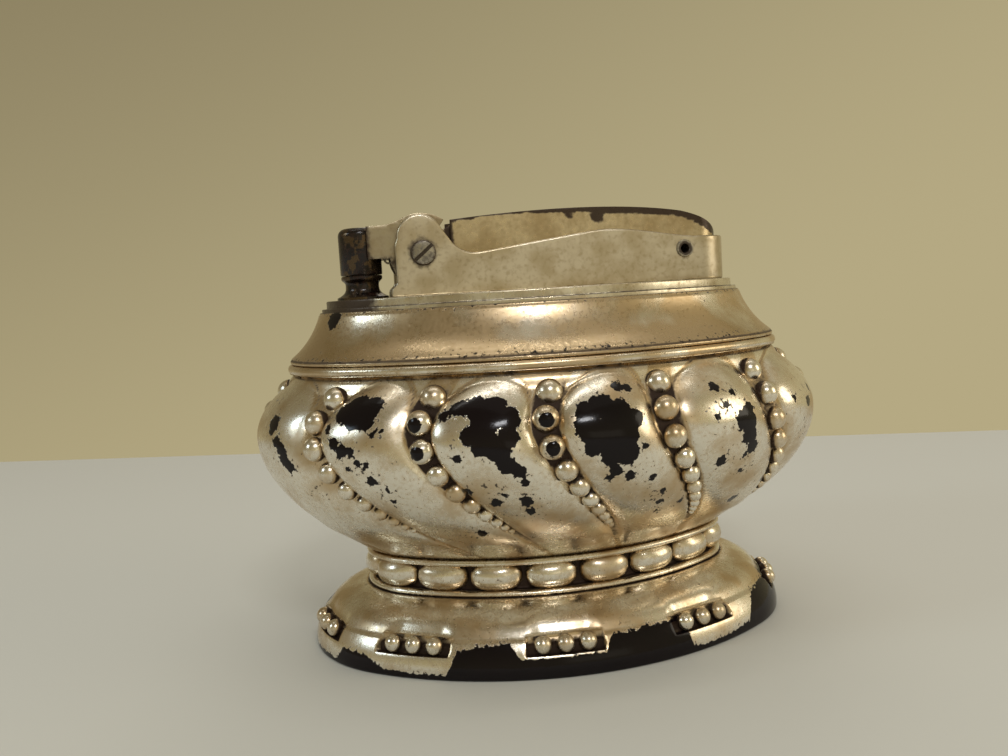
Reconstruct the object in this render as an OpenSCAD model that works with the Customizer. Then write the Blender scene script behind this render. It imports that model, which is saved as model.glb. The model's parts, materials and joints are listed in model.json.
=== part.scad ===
// Table lighter: a gadrooned oval bowl on a domed foot, with a drop-in lighter mechanism.
// The long way is X, the snuffer is at minus X, the flat resting plane is Z = 0.

/* [Oval plan] */
// Distance from the middle to the centre of each end arc
end_centre = 16.5; // [12:0.5:19]
// Distance from the middle to the centre of each side arc
side_centre = 22; // [18:0.5:27]

/* [Foot] */
// Half length of the foot at the table
foot_half = 35.4; // [32:0.1:39]
// Height of the foot, up to the neck
foot_h = 8.1; // [6.5:0.1:10]
// Wall of the foot
foot_wall = 1.2; // [0.8:0.1:1.8]
// Number of recesses round the foot, each with three beads
recess_count = 9; // [6:1:10]
// Length of one recess
recess_len = 10.6; // [8:0.2:12]
// Height of the ledge that the small beads stand on
ledge_z = 2.9; // [2.4:0.1:3.6]
// How deep a recess goes in at its ledge
recess_depth = 1.5; // [0.6:0.1:1.9]
// Diameter of a small bead on the foot
foot_bead_d = 2.4; // [1.6:0.1:2.6]
// Distance between neighbouring small beads
foot_bead_pitch = 2.95; // [2.7:0.05:3.3]

/* [Neck] */
// Half length of the neck at its lips
neck_half = 27.2; // [25.5:0.1:28]
// Height of the neck band
neck_h = 5.1; // [4.4:0.1:6]
// Thickness of each lip of the neck
lip_h = 0.75; // [0.5:0.05:1]
// Number of oval beads round the neck
oval_count = 17; // [14:1:19]
// Length of one oval bead
oval_len = 6.8; // [5.4:0.1:7]

/* [Bowl] */
// Half length of the bowl at its belly
belly_half = 41.5; // [38.5:0.5:45]
// Height of the belly above the table
belly_z = 31; // [28:0.5:33]
// Half length of the bowl at its rim
rim_half = 36.2; // [34.5:0.1:38]
// Height of the bowl rim above the table
rim_z = 41; // [39:0.5:44]
// Height of the plain band under the rim
rim_band = 1.4; // [1:0.1:2]
// Wall of the bowl behind the grooves
bowl_wall = 1; // [0.7:0.1:1.5]
// Number of lobes round the bowl, with a row of beads between each two
lobe_count = 14; // [10:1:16]
// How far a lobe stands out from the groove beside it
lobe_height = 1.5; // [0.8:0.1:2]
// How far round the bowl the rows swing between belly and neck, in degrees of a full turn
swirl = 28; // [10:1:45]
// Diameter of the first bead of a row
row_bead_d = 3.5; // [2.6:0.1:3.8]
// Diameter of the last bead of a row
row_bead_end_d = 1; // [0.8:0.1:1.6]
// Number of beads in a row
row_beads = 10; // [6:1:11]

/* [Collar and top plate] */
// Height of the hollow collar
collar_h = 7; // [5.5:0.1:9]
// Half length of the collar at its top edge
collar_top_half = 31.4; // [30.5:0.1:33]
// Radius of the hollow sweep of the collar
collar_sweep_r = 12.25; // [8.5:0.25:20]
// Wall of the collar
collar_wall = 0.9; // [0.6:0.1:1.2]
// How far the top plate's upper step keeps back from the collar's top edge
plate_inset = 1.1; // [1:0.1:1.8]
// Thickness of the top plate
plate_t = 1.6; // [1.2:0.1:2.4]

/* [Mechanism frame] */
// Half width of the frame
frame_half = 5; // [4.9:0.1:5.6]
// Wall of the frame
frame_wall = 0.9; // [0.6:0.05:0.95]
// How far the frame reaches in front of the snuffer axle
frame_nose = 3.9; // [3.5:0.1:4.7]
// From the collar's end back to the centre of the frame's round rear end
frame_rear_inset = 6.5; // [5.4:0.1:6.9]
// Height of the frame's rear end above the top plate
frame_rear_h = 6.8; // [6:0.1:7.5]
// Radius of the round head that carries the axle screw
frame_head_r = 3.25; // [3:0.05:3.4]

/* [Pivots] */
// From the wick back to the snuffer axle
axle_reach = 8.7; // [8.4:0.1:9]
// Height of the snuffer axle above the top plate
axle_h = 6; // [5.9:0.1:6.4]
// How far the lever rivet lies in front of the frame's rear centre
rivet_inset = 2.5; // [1.9:0.1:3.4]
// Height of the lever rivet above the top plate
rivet_h = 4.7; // [4.4:0.1:5]
// Radius of the axle screw's shank
axle_r = 1.1; // [0.8:0.05:1.2]
// Outer radius of the bush on the axle
bush_r = 1.6; // [1.45:0.05:1.8]
// Outer radius of the tubular rivet
rivet_r = 1.1; // [0.9:0.05:1.3]
// Radius of the drive pin
pin_r = 0.7; // [0.5:0.05:0.8]

/* [Thumb lever] */
// Wall of the lever's cheeks
lever_wall = 0.55; // [0.4:0.05:0.6]
// Thickness of the lever's top
lever_skin = 0.6; // [0.4:0.05:0.8]
// From the snuffer axle back to the front end of the lever's cheeks
lever_setback = 4.2; // [3.9:0.1:5.1]
// How far the top is cut back between the cheeks to clear the hood
lever_notch = 3.9; // [3.5:0.1:4.5]
// Highest point of the lever above the top plate
lever_top_h = 11.5; // [11:0.05:12.5]

/* [Snuffer] */
// Radius of the hood over the spark wheel
hood_r = 5.75; // [5.6:0.05:5.85]
// Thickness of the snuffer's sheet
snuffer_t = 0.6; // [0.4:0.05:0.7]
// Half width of the snuffer
snuffer_half = 3.1; // [3:0.05:3.15]
// From the collar's end to the wick and its snuffer cap
wick_inset = 6.4; // [5.9:0.1:6.6]
// Outer radius of the snuffer cap
cap_r = 3; // [2.9:0.05:3.1]
// Wall of the snuffer cap
cap_wall = 0.5; // [0.3:0.05:0.55]
// Height of the snuffer cap
cap_h = 6.7; // [6.2:0.1:7.2]

/* [Spark wheel and flint] */
// Radius of the spark wheel
wheel_r = 4.3; // [4.1:0.05:4.4]
// Width of the spark wheel
wheel_w = 3.6; // [3.2:0.1:3.7]
// Number of cutting teeth on the spark wheel
wheel_teeth = 36; // [24:1:48]
// Radius of the ratchet wheel
ratchet_r = 3.3; // [3:0.05:3.5]
// Number of ratchet teeth
ratchet_teeth = 12; // [8:1:16]
// Radius of the flint
flint_r = 1.2; // [1:0.05:1.25]
// Length of the flint
flint_len = 5; // [3:0.5:6]
// Outer radius of the flint tube
flint_tube_r = 1.9; // [1.75:0.05:2]

/* [Burner and wick] */
// Height of the burner's flange above the top plate
burner_h = 3.4; // [3:0.1:3.5]
// Radius of the wick
wick_r = 1.35; // [1.1:0.05:1.4]
// Height of the wick above the top plate
wick_h = 7.9; // [7:0.1:8.2]

/* [Fuel tank and base] */
// How far the tank's upper part keeps back from the collar's end
tank_inset = 3.2; // [3.1:0.1:4]
// Room between the tank's lower part and the neck
tank_room = 0.5; // [0.3:0.1:2]
// Wall of the tank
tank_wall = 0.6; // [0.4:0.1:0.8]
// Height of the tank's shoulder above the table
tank_shoulder_z = 28; // [24:0.5:34]
// Thickness of the base plate
base_t = 1; // [0.8:0.1:1.4]
// Height of the base plate's underside above the table
base_z = 1.6; // [1.5:0.1:2]
// Place of the filler screw along X
filler_x = 13; // [9:0.5:16]
// Radius of the filler screw's shank
filler_r = 2.2; // [1.6:0.1:2.8]

/* [Hidden] */

$fn = 48;

// Clearances
seat_gap = 0.02;    // round a piece that is pressed or soldered in
run_gap = 0.05;     // radial, where a piece turns or screws
side_gap = 0.2;     // between moving sheets that pass each other
free_gap = 0.3;     // round pieces that hang free of their neighbours
cut_over = 1;       // how far a cutting shape runs past what it cuts

// Finish colours
silver = [0.72, 0.68, 0.60];
dark_silver = [0.45, 0.42, 0.38];
steel = [0.62, 0.62, 0.62];
brass = [0.76, 0.62, 0.34];
burnt = [0.30, 0.24, 0.20];

// Oval plan: two end arcs and two side arcs that meet on a common tangent
arc_gap = norm([end_centre, side_centre]);
arc_half = atan2(side_centre, end_centre);
side_turn = 180 - 2 * arc_half;

// Places along X, counted from the collar's two ends
plate_half = collar_top_half - plate_inset;
tank_half = collar_top_half - tank_inset;
wick_x = wick_inset - collar_top_half;
axle_x = wick_x + axle_reach;
frame_front_x = axle_x - frame_nose;
lever_front_x = axle_x + lever_setback;
frame_rear_x = collar_top_half - frame_rear_inset;
rivet_x = frame_rear_x - rivet_inset;

// Levels
neck_z = foot_h;
bowl_z = neck_z + neck_h;
collar_z = rim_z;
plate_z = collar_z + collar_h;
deck_z = plate_z + plate_t;
axle_z = deck_z + axle_h;
rivet_z = deck_z + rivet_h;
axle_at = [axle_x, axle_z];
rivet_at = [rivet_x, rivet_z];

// Points of a cubic curve
function curve_at(p, t) =
    p[0] * pow(1 - t, 3)
    + p[1] * 3 * t * pow(1 - t, 2)
    + p[2] * 3 * t * t * (1 - t)
    + p[3] * pow(t, 3);
function curve(p, steps) = [for (i = [0:steps]) curve_at(p, i / steps)];
function polar(r, angle) = [r * cos(angle), r * sin(angle)];
function arc(at, r, from, to, steps) =
    [for (i = [0:steps]) at + polar(r, from + i * (to - from) / steps)];

// Direction in which the oval's outline faces at a share of the way round.
// Share 0 is the middle of the front, and it grows towards plus X.
function side_len(half) = (half - end_centre + arc_gap) * side_turn;
function end_len(half) = (half - end_centre) * 2 * arc_half;
function round_len(half) = 2 * (side_len(half) + end_len(half)) * PI / 180;
function facing(share, half) =
    let (s = share - floor(share), side = side_len(half), end = end_len(half),
         way = s * 2 * (side + end), side_r = half - end_centre + arc_gap,
         end_r = half - end_centre)
    way < side / 2 ? -90 + way / side_r
    : way < side / 2 + end ? -arc_half + (way - side / 2) / end_r
    : way < side * 1.5 + end ? arc_half + (way - side / 2 - end) / side_r
    : way < side * 1.5 + 2 * end ? 180 - arc_half + (way - side * 1.5 - end) / end_r
    : 180 + arc_half + (way - side * 1.5 - 2 * end) / side_r;

// Point of the oval's outline of a given half length that faces a direction
function oval_point(half, angle) =
    let (a = angle - 360 * floor((angle + 180) / 360), end_r = half - end_centre,
         side_r = end_r + arc_gap)
    abs(a) <= arc_half ? [end_centre, 0] + polar(end_r, a)
    : abs(a) >= 180 - arc_half ? [-end_centre, 0] + polar(end_r, a)
    : [0, a < 0 ? side_centre : -side_centre] + polar(side_r, a);

// Corner where the cut between an end arc and a side arc leaves the part
function cut_corner(x_side, y_side) = [5 * end_centre * x_side, 4 * side_centre * y_side];

// A profile of [half length, height] swept round the oval: two end arcs and two side arcs
module oval_sweep() {
    tall = 2 * belly_half;
    for (side = [-1, 1]) {
        intersection() {
            translate([side * end_centre, 0, 0])
                rotate_extrude() translate([-end_centre, 0]) children();
            translate([0, 0, -cut_over])
                linear_extrude(tall)
                    polygon([[side * end_centre, 0], cut_corner(side, -1), cut_corner(side, 1)]);
        }
        intersection() {
            translate([0, -side * side_centre, 0])
                rotate_extrude() translate([arc_gap - end_centre, 0]) children();
            translate([0, 0, -cut_over])
                linear_extrude(tall)
                    polygon([[0, -side * side_centre], cut_corner(-1, side), cut_corner(1, side)]);
        }
    }
}

// The oval as a flat shape
module oval(half) {
    end_r = half - end_centre;
    for (side = [-1, 1])
        translate([side * end_centre, 0]) circle(end_r);
    intersection() {
        translate([0, side_centre]) circle(end_r + arc_gap);
        translate([0, -side_centre]) circle(end_r + arc_gap);
        square([2 * (end_centre + end_r * cos(arc_half)), 4 * half], center = true);
    }
}

// A flat oval of a given thickness
module oval_disc(half, z, t) {
    translate([0, 0, z]) linear_extrude(t) oval(half);
}

// A side outline drawn in X and Z, given a width across the lighter
module across(width, mid = 0) {
    translate([0, mid, 0])
        rotate([90, 0, 0])
            linear_extrude(width, center = true) children();
}

// A rod across the lighter
module cross_rod(at, r, width, mid = 0) {
    translate([at[0], mid, at[1]])
        rotate([90, 0, 0]) cylinder(r = r, h = width, center = true);
}

// An upright rod or bore
module post(x, r, z0, z1) {
    translate([x, 0, z0]) cylinder(r = r, h = z1 - z0);
}

// Foot: a domed shell whose wall steps in at each group of three beads
foot_edge = 0.7;
foot_curve = [
    [neck_half, foot_h],
    [neck_half + 0.53 * (foot_half - neck_half), foot_h],
    [foot_half, foot_h / 2],
    [foot_half, foot_edge]
];
foot_steps = 10;
neck_depth = 3.7;
mouth_half = neck_half - neck_depth;    // open middle of foot, neck and bowl

module foot_profile() {
    outer = curve(foot_curve, foot_steps);
    inner_curve = [
        [neck_half - foot_wall, foot_h - foot_wall],
        foot_curve[1] - [foot_wall, foot_wall],
        foot_curve[2] - [foot_wall, foot_wall],
        [foot_half - foot_wall, base_z + base_t]
    ];
    inner = curve(inner_curve, foot_steps);
    polygon(concat(
        [[mouth_half, foot_h]],
        outer,
        [[foot_half - foot_edge / 2, 0], [foot_half - foot_wall, 0]],
        [for (i = [foot_steps:-1:0]) inner[i]],
        [[mouth_half, foot_h - foot_wall]]
    ));
}

module recess_cutter() {
    floor_half = foot_half - recess_depth - foot_edge / 2;
    polygon([
        [floor_half, ledge_z],
        [foot_half + cut_over, ledge_z],
        [foot_half + cut_over, foot_h],
        [floor_half, foot_h]
    ]);
}

// A block that keeps one recess's stretch of a swept cutter
module recess_window(angle) {
    at = oval_point(foot_half, angle);
    translate([at[0], at[1], foot_h / 2])
        rotate(angle) cube([3 * recess_depth + 2, recess_len, foot_h], center = true);
}

// The first recess lies a little left of the middle of the front, and those at the ends have drifted
recess_phase = 0.016;
recess_drift = [0, 0, 3, 2.4, 1.8, 1.8, 2.4, 3, 0, 0];
function recess_share(i) = i / recess_count - recess_phase + recess_drift[i] / round_len(foot_half);
function recess_facing(i) = facing(recess_share(i), foot_half);

module foot() {
    bead_half = foot_half - recess_depth + foot_bead_d / 6;
    bead_step = foot_bead_pitch / round_len(bead_half);
    color(silver) {
        difference() {
            oval_sweep() foot_profile();
            intersection() {
                oval_sweep() recess_cutter();
                for (i = [0:recess_count - 1]) recess_window(recess_facing(i));
            }
        }
        for (i = [0:recess_count - 1], side = [-1:1]) {
            share = recess_share(i) + side * bead_step;
            at = oval_point(bead_half, facing(share, bead_half));
            translate([at[0], at[1], ledge_z + foot_bead_d / 2]) sphere(foot_bead_d / 2);
        }
    }
}

// Neck: a band between two lips, with oval beads all round
neck_in = 1.7;
oval_phase = 0.33;
module neck_profile() {
    lip_r = lip_h / 2;
    groove = neck_half - neck_in;
    low = [neck_half - lip_r, neck_z + lip_r];
    high = [neck_half - lip_r, bowl_z - lip_r];
    polygon(concat(
        [[mouth_half, neck_z]],
        arc(low, lip_r, -90, 90, 6),
        [[groove, neck_z + lip_h], [groove, bowl_z - lip_h]],
        arc(high, lip_r, -90, 90, 6),
        [[mouth_half, bowl_z]]
    ));
}

// An oval bead, round about its long axis, with small flat ends
module oval_bead(len, d) {
    tip_r = 0.27 * d;
    sink = (tip_r * tip_r + (len * len - d * d) / 4) / (d - 2 * tip_r);
    rotate_extrude()
        intersection() {
            translate([-sink, 0]) circle(sink + d / 2);
            translate([0, -len / 2]) square([d, len]);
        }
}

module neck_band() {
    oval_d = neck_h - 2 * lip_h + 0.2;
    bead_half = neck_half - neck_in;
    color(silver) {
        oval_sweep() neck_profile();
        for (i = [0:oval_count - 1]) {
            angle = facing((i - oval_phase) / oval_count, bead_half);
            at = oval_point(bead_half, angle);
            translate([at[0], at[1], neck_z + neck_h / 2])
                rotate(angle) rotate([90, 0, 0]) oval_bead(oval_len, oval_d);
        }
    }
}

// Bowl: lobes that swing round to the right as they run down, with graded beads between
lobe_top_z = rim_z - rim_band;
bowl_low = [
    [neck_half - 0.6, bowl_z],
    [neck_half + 5.2, bowl_z + 3],
    [belly_half, belly_z - 0.42 * (belly_z - bowl_z)],
    [belly_half, belly_z]
];
bowl_high = [
    [belly_half, belly_z],
    [belly_half, belly_z + 0.4 * (lobe_top_z - belly_z)],
    [rim_half + 0.42 * (belly_half - rim_half), lobe_top_z - 0.28 * (lobe_top_z - belly_z)],
    [rim_half, lobe_top_z]
];
// Whole side of the bowl from rim (0) to neck (1); the belly is at a third
function bowl_side(t) = t < 1 / 3 ? curve_at(bowl_high, 1 - 3 * t) : curve_at(bowl_low, 1.5 * (1 - t));

// Share of a turn by which the rows have swung at a height: first a little back, then forward
turn_z = belly_z + 1.9;
back_swing = 4.3;
function swing(z) =
    let (down = max(0, turn_z - z) / (turn_z - bowl_z), up = max(0, z - turn_z) / (lobe_top_z - turn_z))
    (swirl * pow(down, 1.5) - back_swing * (1 - up * up)) / 360;

// Uneven spacing of the hand chased rows, as lengths along the belly
row_drift = [0, 0, 2.5, 7.6, 6.4, 4.9, 3.4, 1.9, 0.2, -1.6, -3.9, -6.8, 0.5, 0];
belly_len = round_len(belly_half);
function drift(k) = row_drift[k % len(row_drift)] / belly_len;
row_phase = 0.16;
function row_share(k) = (k - row_phase) / lobe_count + drift(k);

lobe_cells = 7;
side_cells = 10;
lobe_width = belly_len / lobe_count;

// Height of the lobe's swell at a place across the lobe (0 to 1) and down the bowl
function swell(across_lobe, t) =
    let (x = abs(2 * across_lobe - 1), z = bowl_side(t)[1],
         from_top = (lobe_top_z - z) / (0.34 * lobe_width),
         arch = from_top < 1 ? sqrt(x * x + pow(1 - from_top, 2)) : x,
         fade = min(1, max(0, (z - bowl_z) / 4)))
    arch >= 1 ? 0 : lobe_height * fade * sqrt(1 - pow(arch, 2.6));

function bowl_ring(t) =
    let (p = bowl_side(t))
    [for (k = [0:lobe_count - 1], j = [0:lobe_cells - 1])
        let (c = j / lobe_cells,
             share = row_share(k) * (1 - c) + row_share(k + 1) * c,
             half = p[0] - lobe_height + swell(c, t),
             at = oval_point(half, facing(share + swing(p[1]), half)))
        [at[0], at[1], p[1]]];

function plain_ring(half, z) =
    [for (i = [0:lobe_count * lobe_cells - 1])
        let (at = oval_point(half, facing(row_share(0) + swing(z) + i / (lobe_count * lobe_cells), half)))
        [at[0], at[1], z]];

function inner_ring(t) =
    plain_ring(bowl_side(t)[0] - lobe_height - 1.4 * bowl_wall, bowl_side(t)[1] + t * bowl_wall);

module bowl_shell() {
    around = lobe_count * lobe_cells;
    rings = concat(
        [plain_ring(mouth_half, bowl_z)],
        [for (i = [side_cells:-1:0]) bowl_ring(i / side_cells)],
        [plain_ring(rim_half, lobe_top_z + 0.3), plain_ring(rim_half, rim_z),
         plain_ring(rim_half - 2 * bowl_wall, rim_z)],
        [for (t = [0.13, 1 / 3, 0.55, 0.78]) inner_ring(t)]
    );
    n = len(rings);
    polyhedron(
        points = [for (ring = rings) each ring],
        faces = [for (r = [0:n - 1], i = [0:around - 1])
            let (a = r * around + i, b = r * around + (i + 1) % around,
                 c = ((r + 1) % n) * around + (i + 1) % around, d = ((r + 1) % n) * around + i)
            each [[a, c, b], [a, d, c]]],
        convexity = 6
    );
}

// Beads of a row: each one stands close to the next along the row
bead_space = 1.07;
function bead_d(i) =
    let (s = i / max(1, row_beads - 1))
    row_bead_d + (row_bead_end_d - row_bead_d) * pow(s, 1.35);
function row_point(share, t) =
    let (p = bowl_side(t), half = p[0] - lobe_height + 0.1, at = oval_point(half, facing(share + swing(p[1]), half)))
    [at[0], at[1], p[1]];
function bead_t(share, i) =
    i == 0 ? 0.12
    : let (t = bead_t(share, i - 1), step = 0.01, way = norm(row_point(share, t + step) - row_point(share, t)))
      t + step * bead_space * (bead_d(i) + bead_d(i - 1)) / 2 / way;

module bowl() {
    color(silver) {
        bowl_shell();
        for (k = [0:lobe_count - 1], i = [0:row_beads - 1]) {
            share = row_share(k);
            t = bead_t(share, i);
            if (t < 0.93)
                translate(row_point(share, t))
                    hull() sphere(bead_d(i) / 2, $fn = i < 2 ? 8 : 6);
        }
    }
}

// Collar: a hollow-swept ring that carries the top plate
collar_foot_half = rim_half - 0.2;
module collar_profile() {
    low = [collar_foot_half, collar_z + 0.6];
    high = [collar_top_half, plate_z];
    half_chord = norm(high - low) / 2;
    mid = (low + high) / 2;
    along = (high - low) / norm(high - low);
    hollow = mid + [along[1], -along[0]] * sqrt(pow(collar_sweep_r, 2) - pow(half_chord, 2));
    ledge = tank_half + free_gap;
    intersection() {
        difference() {
            polygon([
                [collar_foot_half, collar_z],
                low,
                [collar_foot_half, plate_z],
                high,
                [ledge, plate_z],
                [ledge, plate_z - collar_wall],
                [collar_top_half - 2 * collar_wall, plate_z - collar_wall],
                [collar_foot_half - 2.4 * collar_wall, collar_z]
            ]);
            translate(hollow) circle(collar_sweep_r, $fn = 96);
        }
        translate([0, collar_z]) square([collar_foot_half, collar_h]);
    }
}

module collar() {
    color(silver) oval_sweep() collar_profile();
}

// Base plate inside the foot, with its three holes
flint_x = axle_x;
stud_r = 1.5;
module base_plate() {
    color(brass)
        difference() {
            oval_disc(foot_half - foot_wall - 0.1, base_z, base_t);
            post(flint_x, flint_tube_r + seat_gap, base_z - cut_over, base_z + base_t + cut_over);
            post(0, stud_r + run_gap, base_z - cut_over, base_z + base_t + cut_over);
            post(filler_x, filler_head_r + free_gap, base_z - cut_over, base_z + base_t + cut_over);
        }
}

nut_t = 1;
module retaining_nut() {
    color(brass)
        difference() {
            translate([0, 0, base_z - nut_t]) cylinder(r = 3.2, h = nut_t, $fn = 6);
            post(0, stud_r + run_gap, 0, base_z);
        }
}

// Top plate: stepped edge, holes for burner and flint tube, and a boss for the return spring
plate_step = 0.5;
spring_x = rivet_x - 16.4;
spring_r = 2.2;
spring_wire = 0.35;
shank_r = wick_r + 0.85;
module top_plate() {
    color(silver) {
        difference() {
            union() {
                oval_disc(collar_top_half - 0.4, plate_z, plate_step);
                oval_disc(plate_half, plate_z + plate_step, plate_t - plate_step);
            }
            post(flint_x, flint_tube_r + seat_gap, plate_z - cut_over, deck_z + cut_over);
            post(wick_x, shank_r + seat_gap, plate_z - cut_over, deck_z + cut_over);
        }
        post(spring_x, spring_r - spring_wire - free_gap, deck_z, deck_z + 1.2);
    }
}

// Fuel tank: an upper part under the top plate and a lower part down through the neck
tank_z = base_z + base_t;
tank_neck_half = mouth_half - tank_room;
tank_shoulder_h = 3;
filler_boss_h = 3.4;
filler_head_r = filler_r + 1.1;
module tank_profile() {
    w = tank_wall;
    polygon([
        [tank_neck_half, tank_z],
        [tank_neck_half, tank_shoulder_z],
        [tank_half, tank_shoulder_z + tank_shoulder_h],
        [tank_half, plate_z],
        [tank_half - w, plate_z],
        [tank_half - w, tank_shoulder_z + tank_shoulder_h + w / 2],
        [tank_neck_half - w, tank_shoulder_z + w / 2],
        [tank_neck_half - w, tank_z]
    ]);
}

module fuel_tank() {
    color(brass)
        difference() {
            union() {
                oval_sweep() tank_profile();
                oval_disc(tank_neck_half - tank_wall / 2, tank_z, tank_wall);
                oval_disc(tank_half - tank_wall / 2, plate_z - tank_wall, tank_wall);
                post(filler_x, filler_r + 1, tank_z, tank_z + filler_boss_h);
                post(0, stud_r, base_z - nut_t - 0.2, tank_z + tank_wall);
            }
            post(flint_x, flint_tube_r + seat_gap, tank_z - cut_over, plate_z + cut_over);
            post(wick_x, shank_r + seat_gap, plate_z - tank_wall - cut_over, plate_z + cut_over);
            post(filler_x, filler_r + run_gap, tank_z - cut_over, tank_z + filler_boss_h + cut_over);
        }
}

// Cotton packing that fills the tank, round the flint tube and the wick
wick_foot_z = tank_shoulder_z + tank_shoulder_h + 4;
shank_drop = 2.5;
module cotton_packing() {
    inset = tank_wall + free_gap;
    upper_z = tank_shoulder_z + tank_shoulder_h + 1;
    color("ivory")
        difference() {
            union() {
                oval_disc(tank_neck_half - inset, tank_z + filler_boss_h + free_gap, upper_z - tank_z - filler_boss_h);
                oval_disc(tank_half - inset, upper_z, plate_z - shank_drop - 1 - upper_z);
            }
            post(flint_x, flint_tube_r + free_gap, tank_z, plate_z);
            post(wick_x, wick_r + 0.1, wick_foot_z - 0.3, plate_z);
        }
}

module wick() {
    color("ivory") post(wick_x, wick_r, wick_foot_z, deck_z + wick_h);
}

// Burner: flared foot, waist and flange turned in one, with the wick tube on top
tube_r = wick_r + 0.4;
burner_base_r = 3.7;
burner_waist_r = 2.4;
burner_top_r = cap_r - 0.05;
module burner() {
    color(burnt)
        translate([wick_x, 0, 0])
            rotate_extrude()
                polygon(concat(
                    [[wick_r + run_gap, plate_z - shank_drop], [shank_r, plate_z - shank_drop]],
                    [[shank_r, deck_z], [burner_base_r, deck_z]],
                    curve([
                        [burner_base_r, deck_z + 0.35],
                        [burner_waist_r, deck_z + 0.9],
                        [burner_waist_r, deck_z + 1.4],
                        [burner_waist_r, deck_z + 2]
                    ], 6),
                    curve([
                        [burner_waist_r, deck_z + 2.2],
                        [burner_waist_r, deck_z + 2.6],
                        [burner_top_r, deck_z + burner_h - 0.7],
                        [burner_top_r, deck_z + burner_h - 0.4]
                    ], 4),
                    [[burner_top_r, deck_z + burner_h], [tube_r, deck_z + burner_h]],
                    [[tube_r, deck_z + burner_h + 2.4], [wick_r + run_gap, deck_z + burner_h + 2.4]]
                ));
}

// Frame: one strip bent to a U in plan, closed at the rear, with round heads at the front
frame_end_x = frame_rear_x + frame_half;
head_at = [axle_x - 0.3, deck_z + 8.2];
module frame_outline() {
    rear_top = deck_z + frame_rear_h - 0.3;
    dip = [axle_x + 7.9, deck_z + 5.8];
    hip = [axle_x + 4.3, deck_z + 7.2];
    crest = [frame_rear_x - 15.3, deck_z + 8.1];
    shoulder = [rivet_x + 1.5, rear_top];
    polygon(concat(
        [[frame_front_x - 0.9, deck_z], [frame_front_x - 0.8, deck_z + 1.2]],
        [[frame_front_x, deck_z + 1.9], [frame_front_x, deck_z + 7.3]],
        arc(head_at, frame_head_r, 180, 32, 14),
        curve([hip, dip + [-2.2, 0.2], dip + [-1.4, -0.1], dip], 5),
        curve([dip, dip + [5, 0.6], crest - [5, 0.5], crest], 5),
        curve([crest, crest + [5, 0.2], shoulder - [5, -0.5], shoulder], 5),
        [[frame_end_x, rear_top], [frame_end_x, deck_z]]
    ));
}

// Plan of the frame's outside, or of anything that runs inside it with the same centre
module frame_plan(half, front_x) {
    translate([front_x, -half]) square([frame_rear_x - front_x, 2 * half]);
    translate([frame_rear_x, 0]) circle(half);
}

module frame() {
    inner_half = frame_half - frame_wall;
    color(steel)
        difference() {
            intersection() {
                across(2 * frame_half) frame_outline();
                linear_extrude(deck_z + 2 * axle_h) frame_plan(frame_half, frame_front_x - 2);
            }
            linear_extrude(deck_z + 2 * axle_h) frame_plan(inner_half, frame_front_x - 2 - cut_over);
            cross_rod(axle_at, axle_r + seat_gap, 3 * frame_half);
            cross_rod(rivet_at, rivet_r + seat_gap, 3 * frame_half);
        }
}

// Axle screw with a slotted head at the front, and the bush that the snuffer turns on
screw_head_r = 1.8;
screw_head_t = 0.9;
module axle_screw() {
    color(steel)
        difference() {
            union() {
                cross_rod(axle_at, axle_r, 2 * frame_half + 0.3, 0.15);
                cross_rod(axle_at, screw_head_r, screw_head_t, -frame_half - screw_head_t / 2);
            }
            translate([axle_x, -frame_half - screw_head_t, axle_z])
                rotate([0, -40, 0]) cube([4 * screw_head_r, 0.9, 0.5], center = true);
        }
}

module axle_bush() {
    bush_w = 2 * (frame_half - frame_wall);
    color(brass)
        difference() {
            cross_rod(axle_at, bush_r, bush_w);
            cross_rod(axle_at, axle_r + seat_gap, bush_w + cut_over);
        }
}

// Hollow rivet that the lever turns on, with a rolled rim at each side
rivet_rim = 0.22;
module lever_rivet() {
    color(steel)
        difference() {
            union() {
                cross_rod(rivet_at, rivet_r, 2 * (frame_half + rivet_rim));
                for (side = [-1, 1])
                    cross_rod(rivet_at, rivet_r + rivet_rim, rivet_rim, side * (frame_half + rivet_rim / 2));
            }
            cross_rod(rivet_at, rivet_r - 0.45, 2 * frame_half + cut_over);
        }
}

// Lines of the thumb lever's top, from its front end to its heel
lever_half = frame_half - frame_wall - side_gap;
lever_top_z = deck_z + lever_top_h;
lever_end_x = frame_rear_x + lever_half;
lever_line = [
    [lever_front_x, lever_top_z - 0.95],
    [lever_front_x + 13.6, lever_top_z + 0.32],
    [rivet_x - 8.4, lever_top_z + 0.32],
    [rivet_x, lever_top_z - 1.15]
];
lever_heel = [
    lever_line[3],
    lever_line[3] + [3.6, -0.9],
    [lever_end_x - 0.6, lever_top_z - 3.4],
    [lever_end_x, lever_top_z - 5]
];
function lever_inner_z(x) =
    let (t = (x - lever_front_x) / (rivet_x - lever_front_x))
    curve_at(lever_line, t)[1] - lever_skin;

// Return spring under the lever: one unbroken wire with flat coils at its ends
spring_turns = 5;
spring_top = lever_inner_z(spring_x) - 0.15;
function spring_point(s) =
    let (mid_r = spring_r - spring_wire / 2, z0 = deck_z + spring_wire / 2 + 0.02,
         rise = spring_top - spring_wire / 2 - z0, climb = min(1, max(0, (s * spring_turns - 0.5) / (spring_turns - 1))))
    [spring_x + mid_r * cos(360 * spring_turns * s), mid_r * sin(360 * spring_turns * s), z0 + rise * climb];

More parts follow.
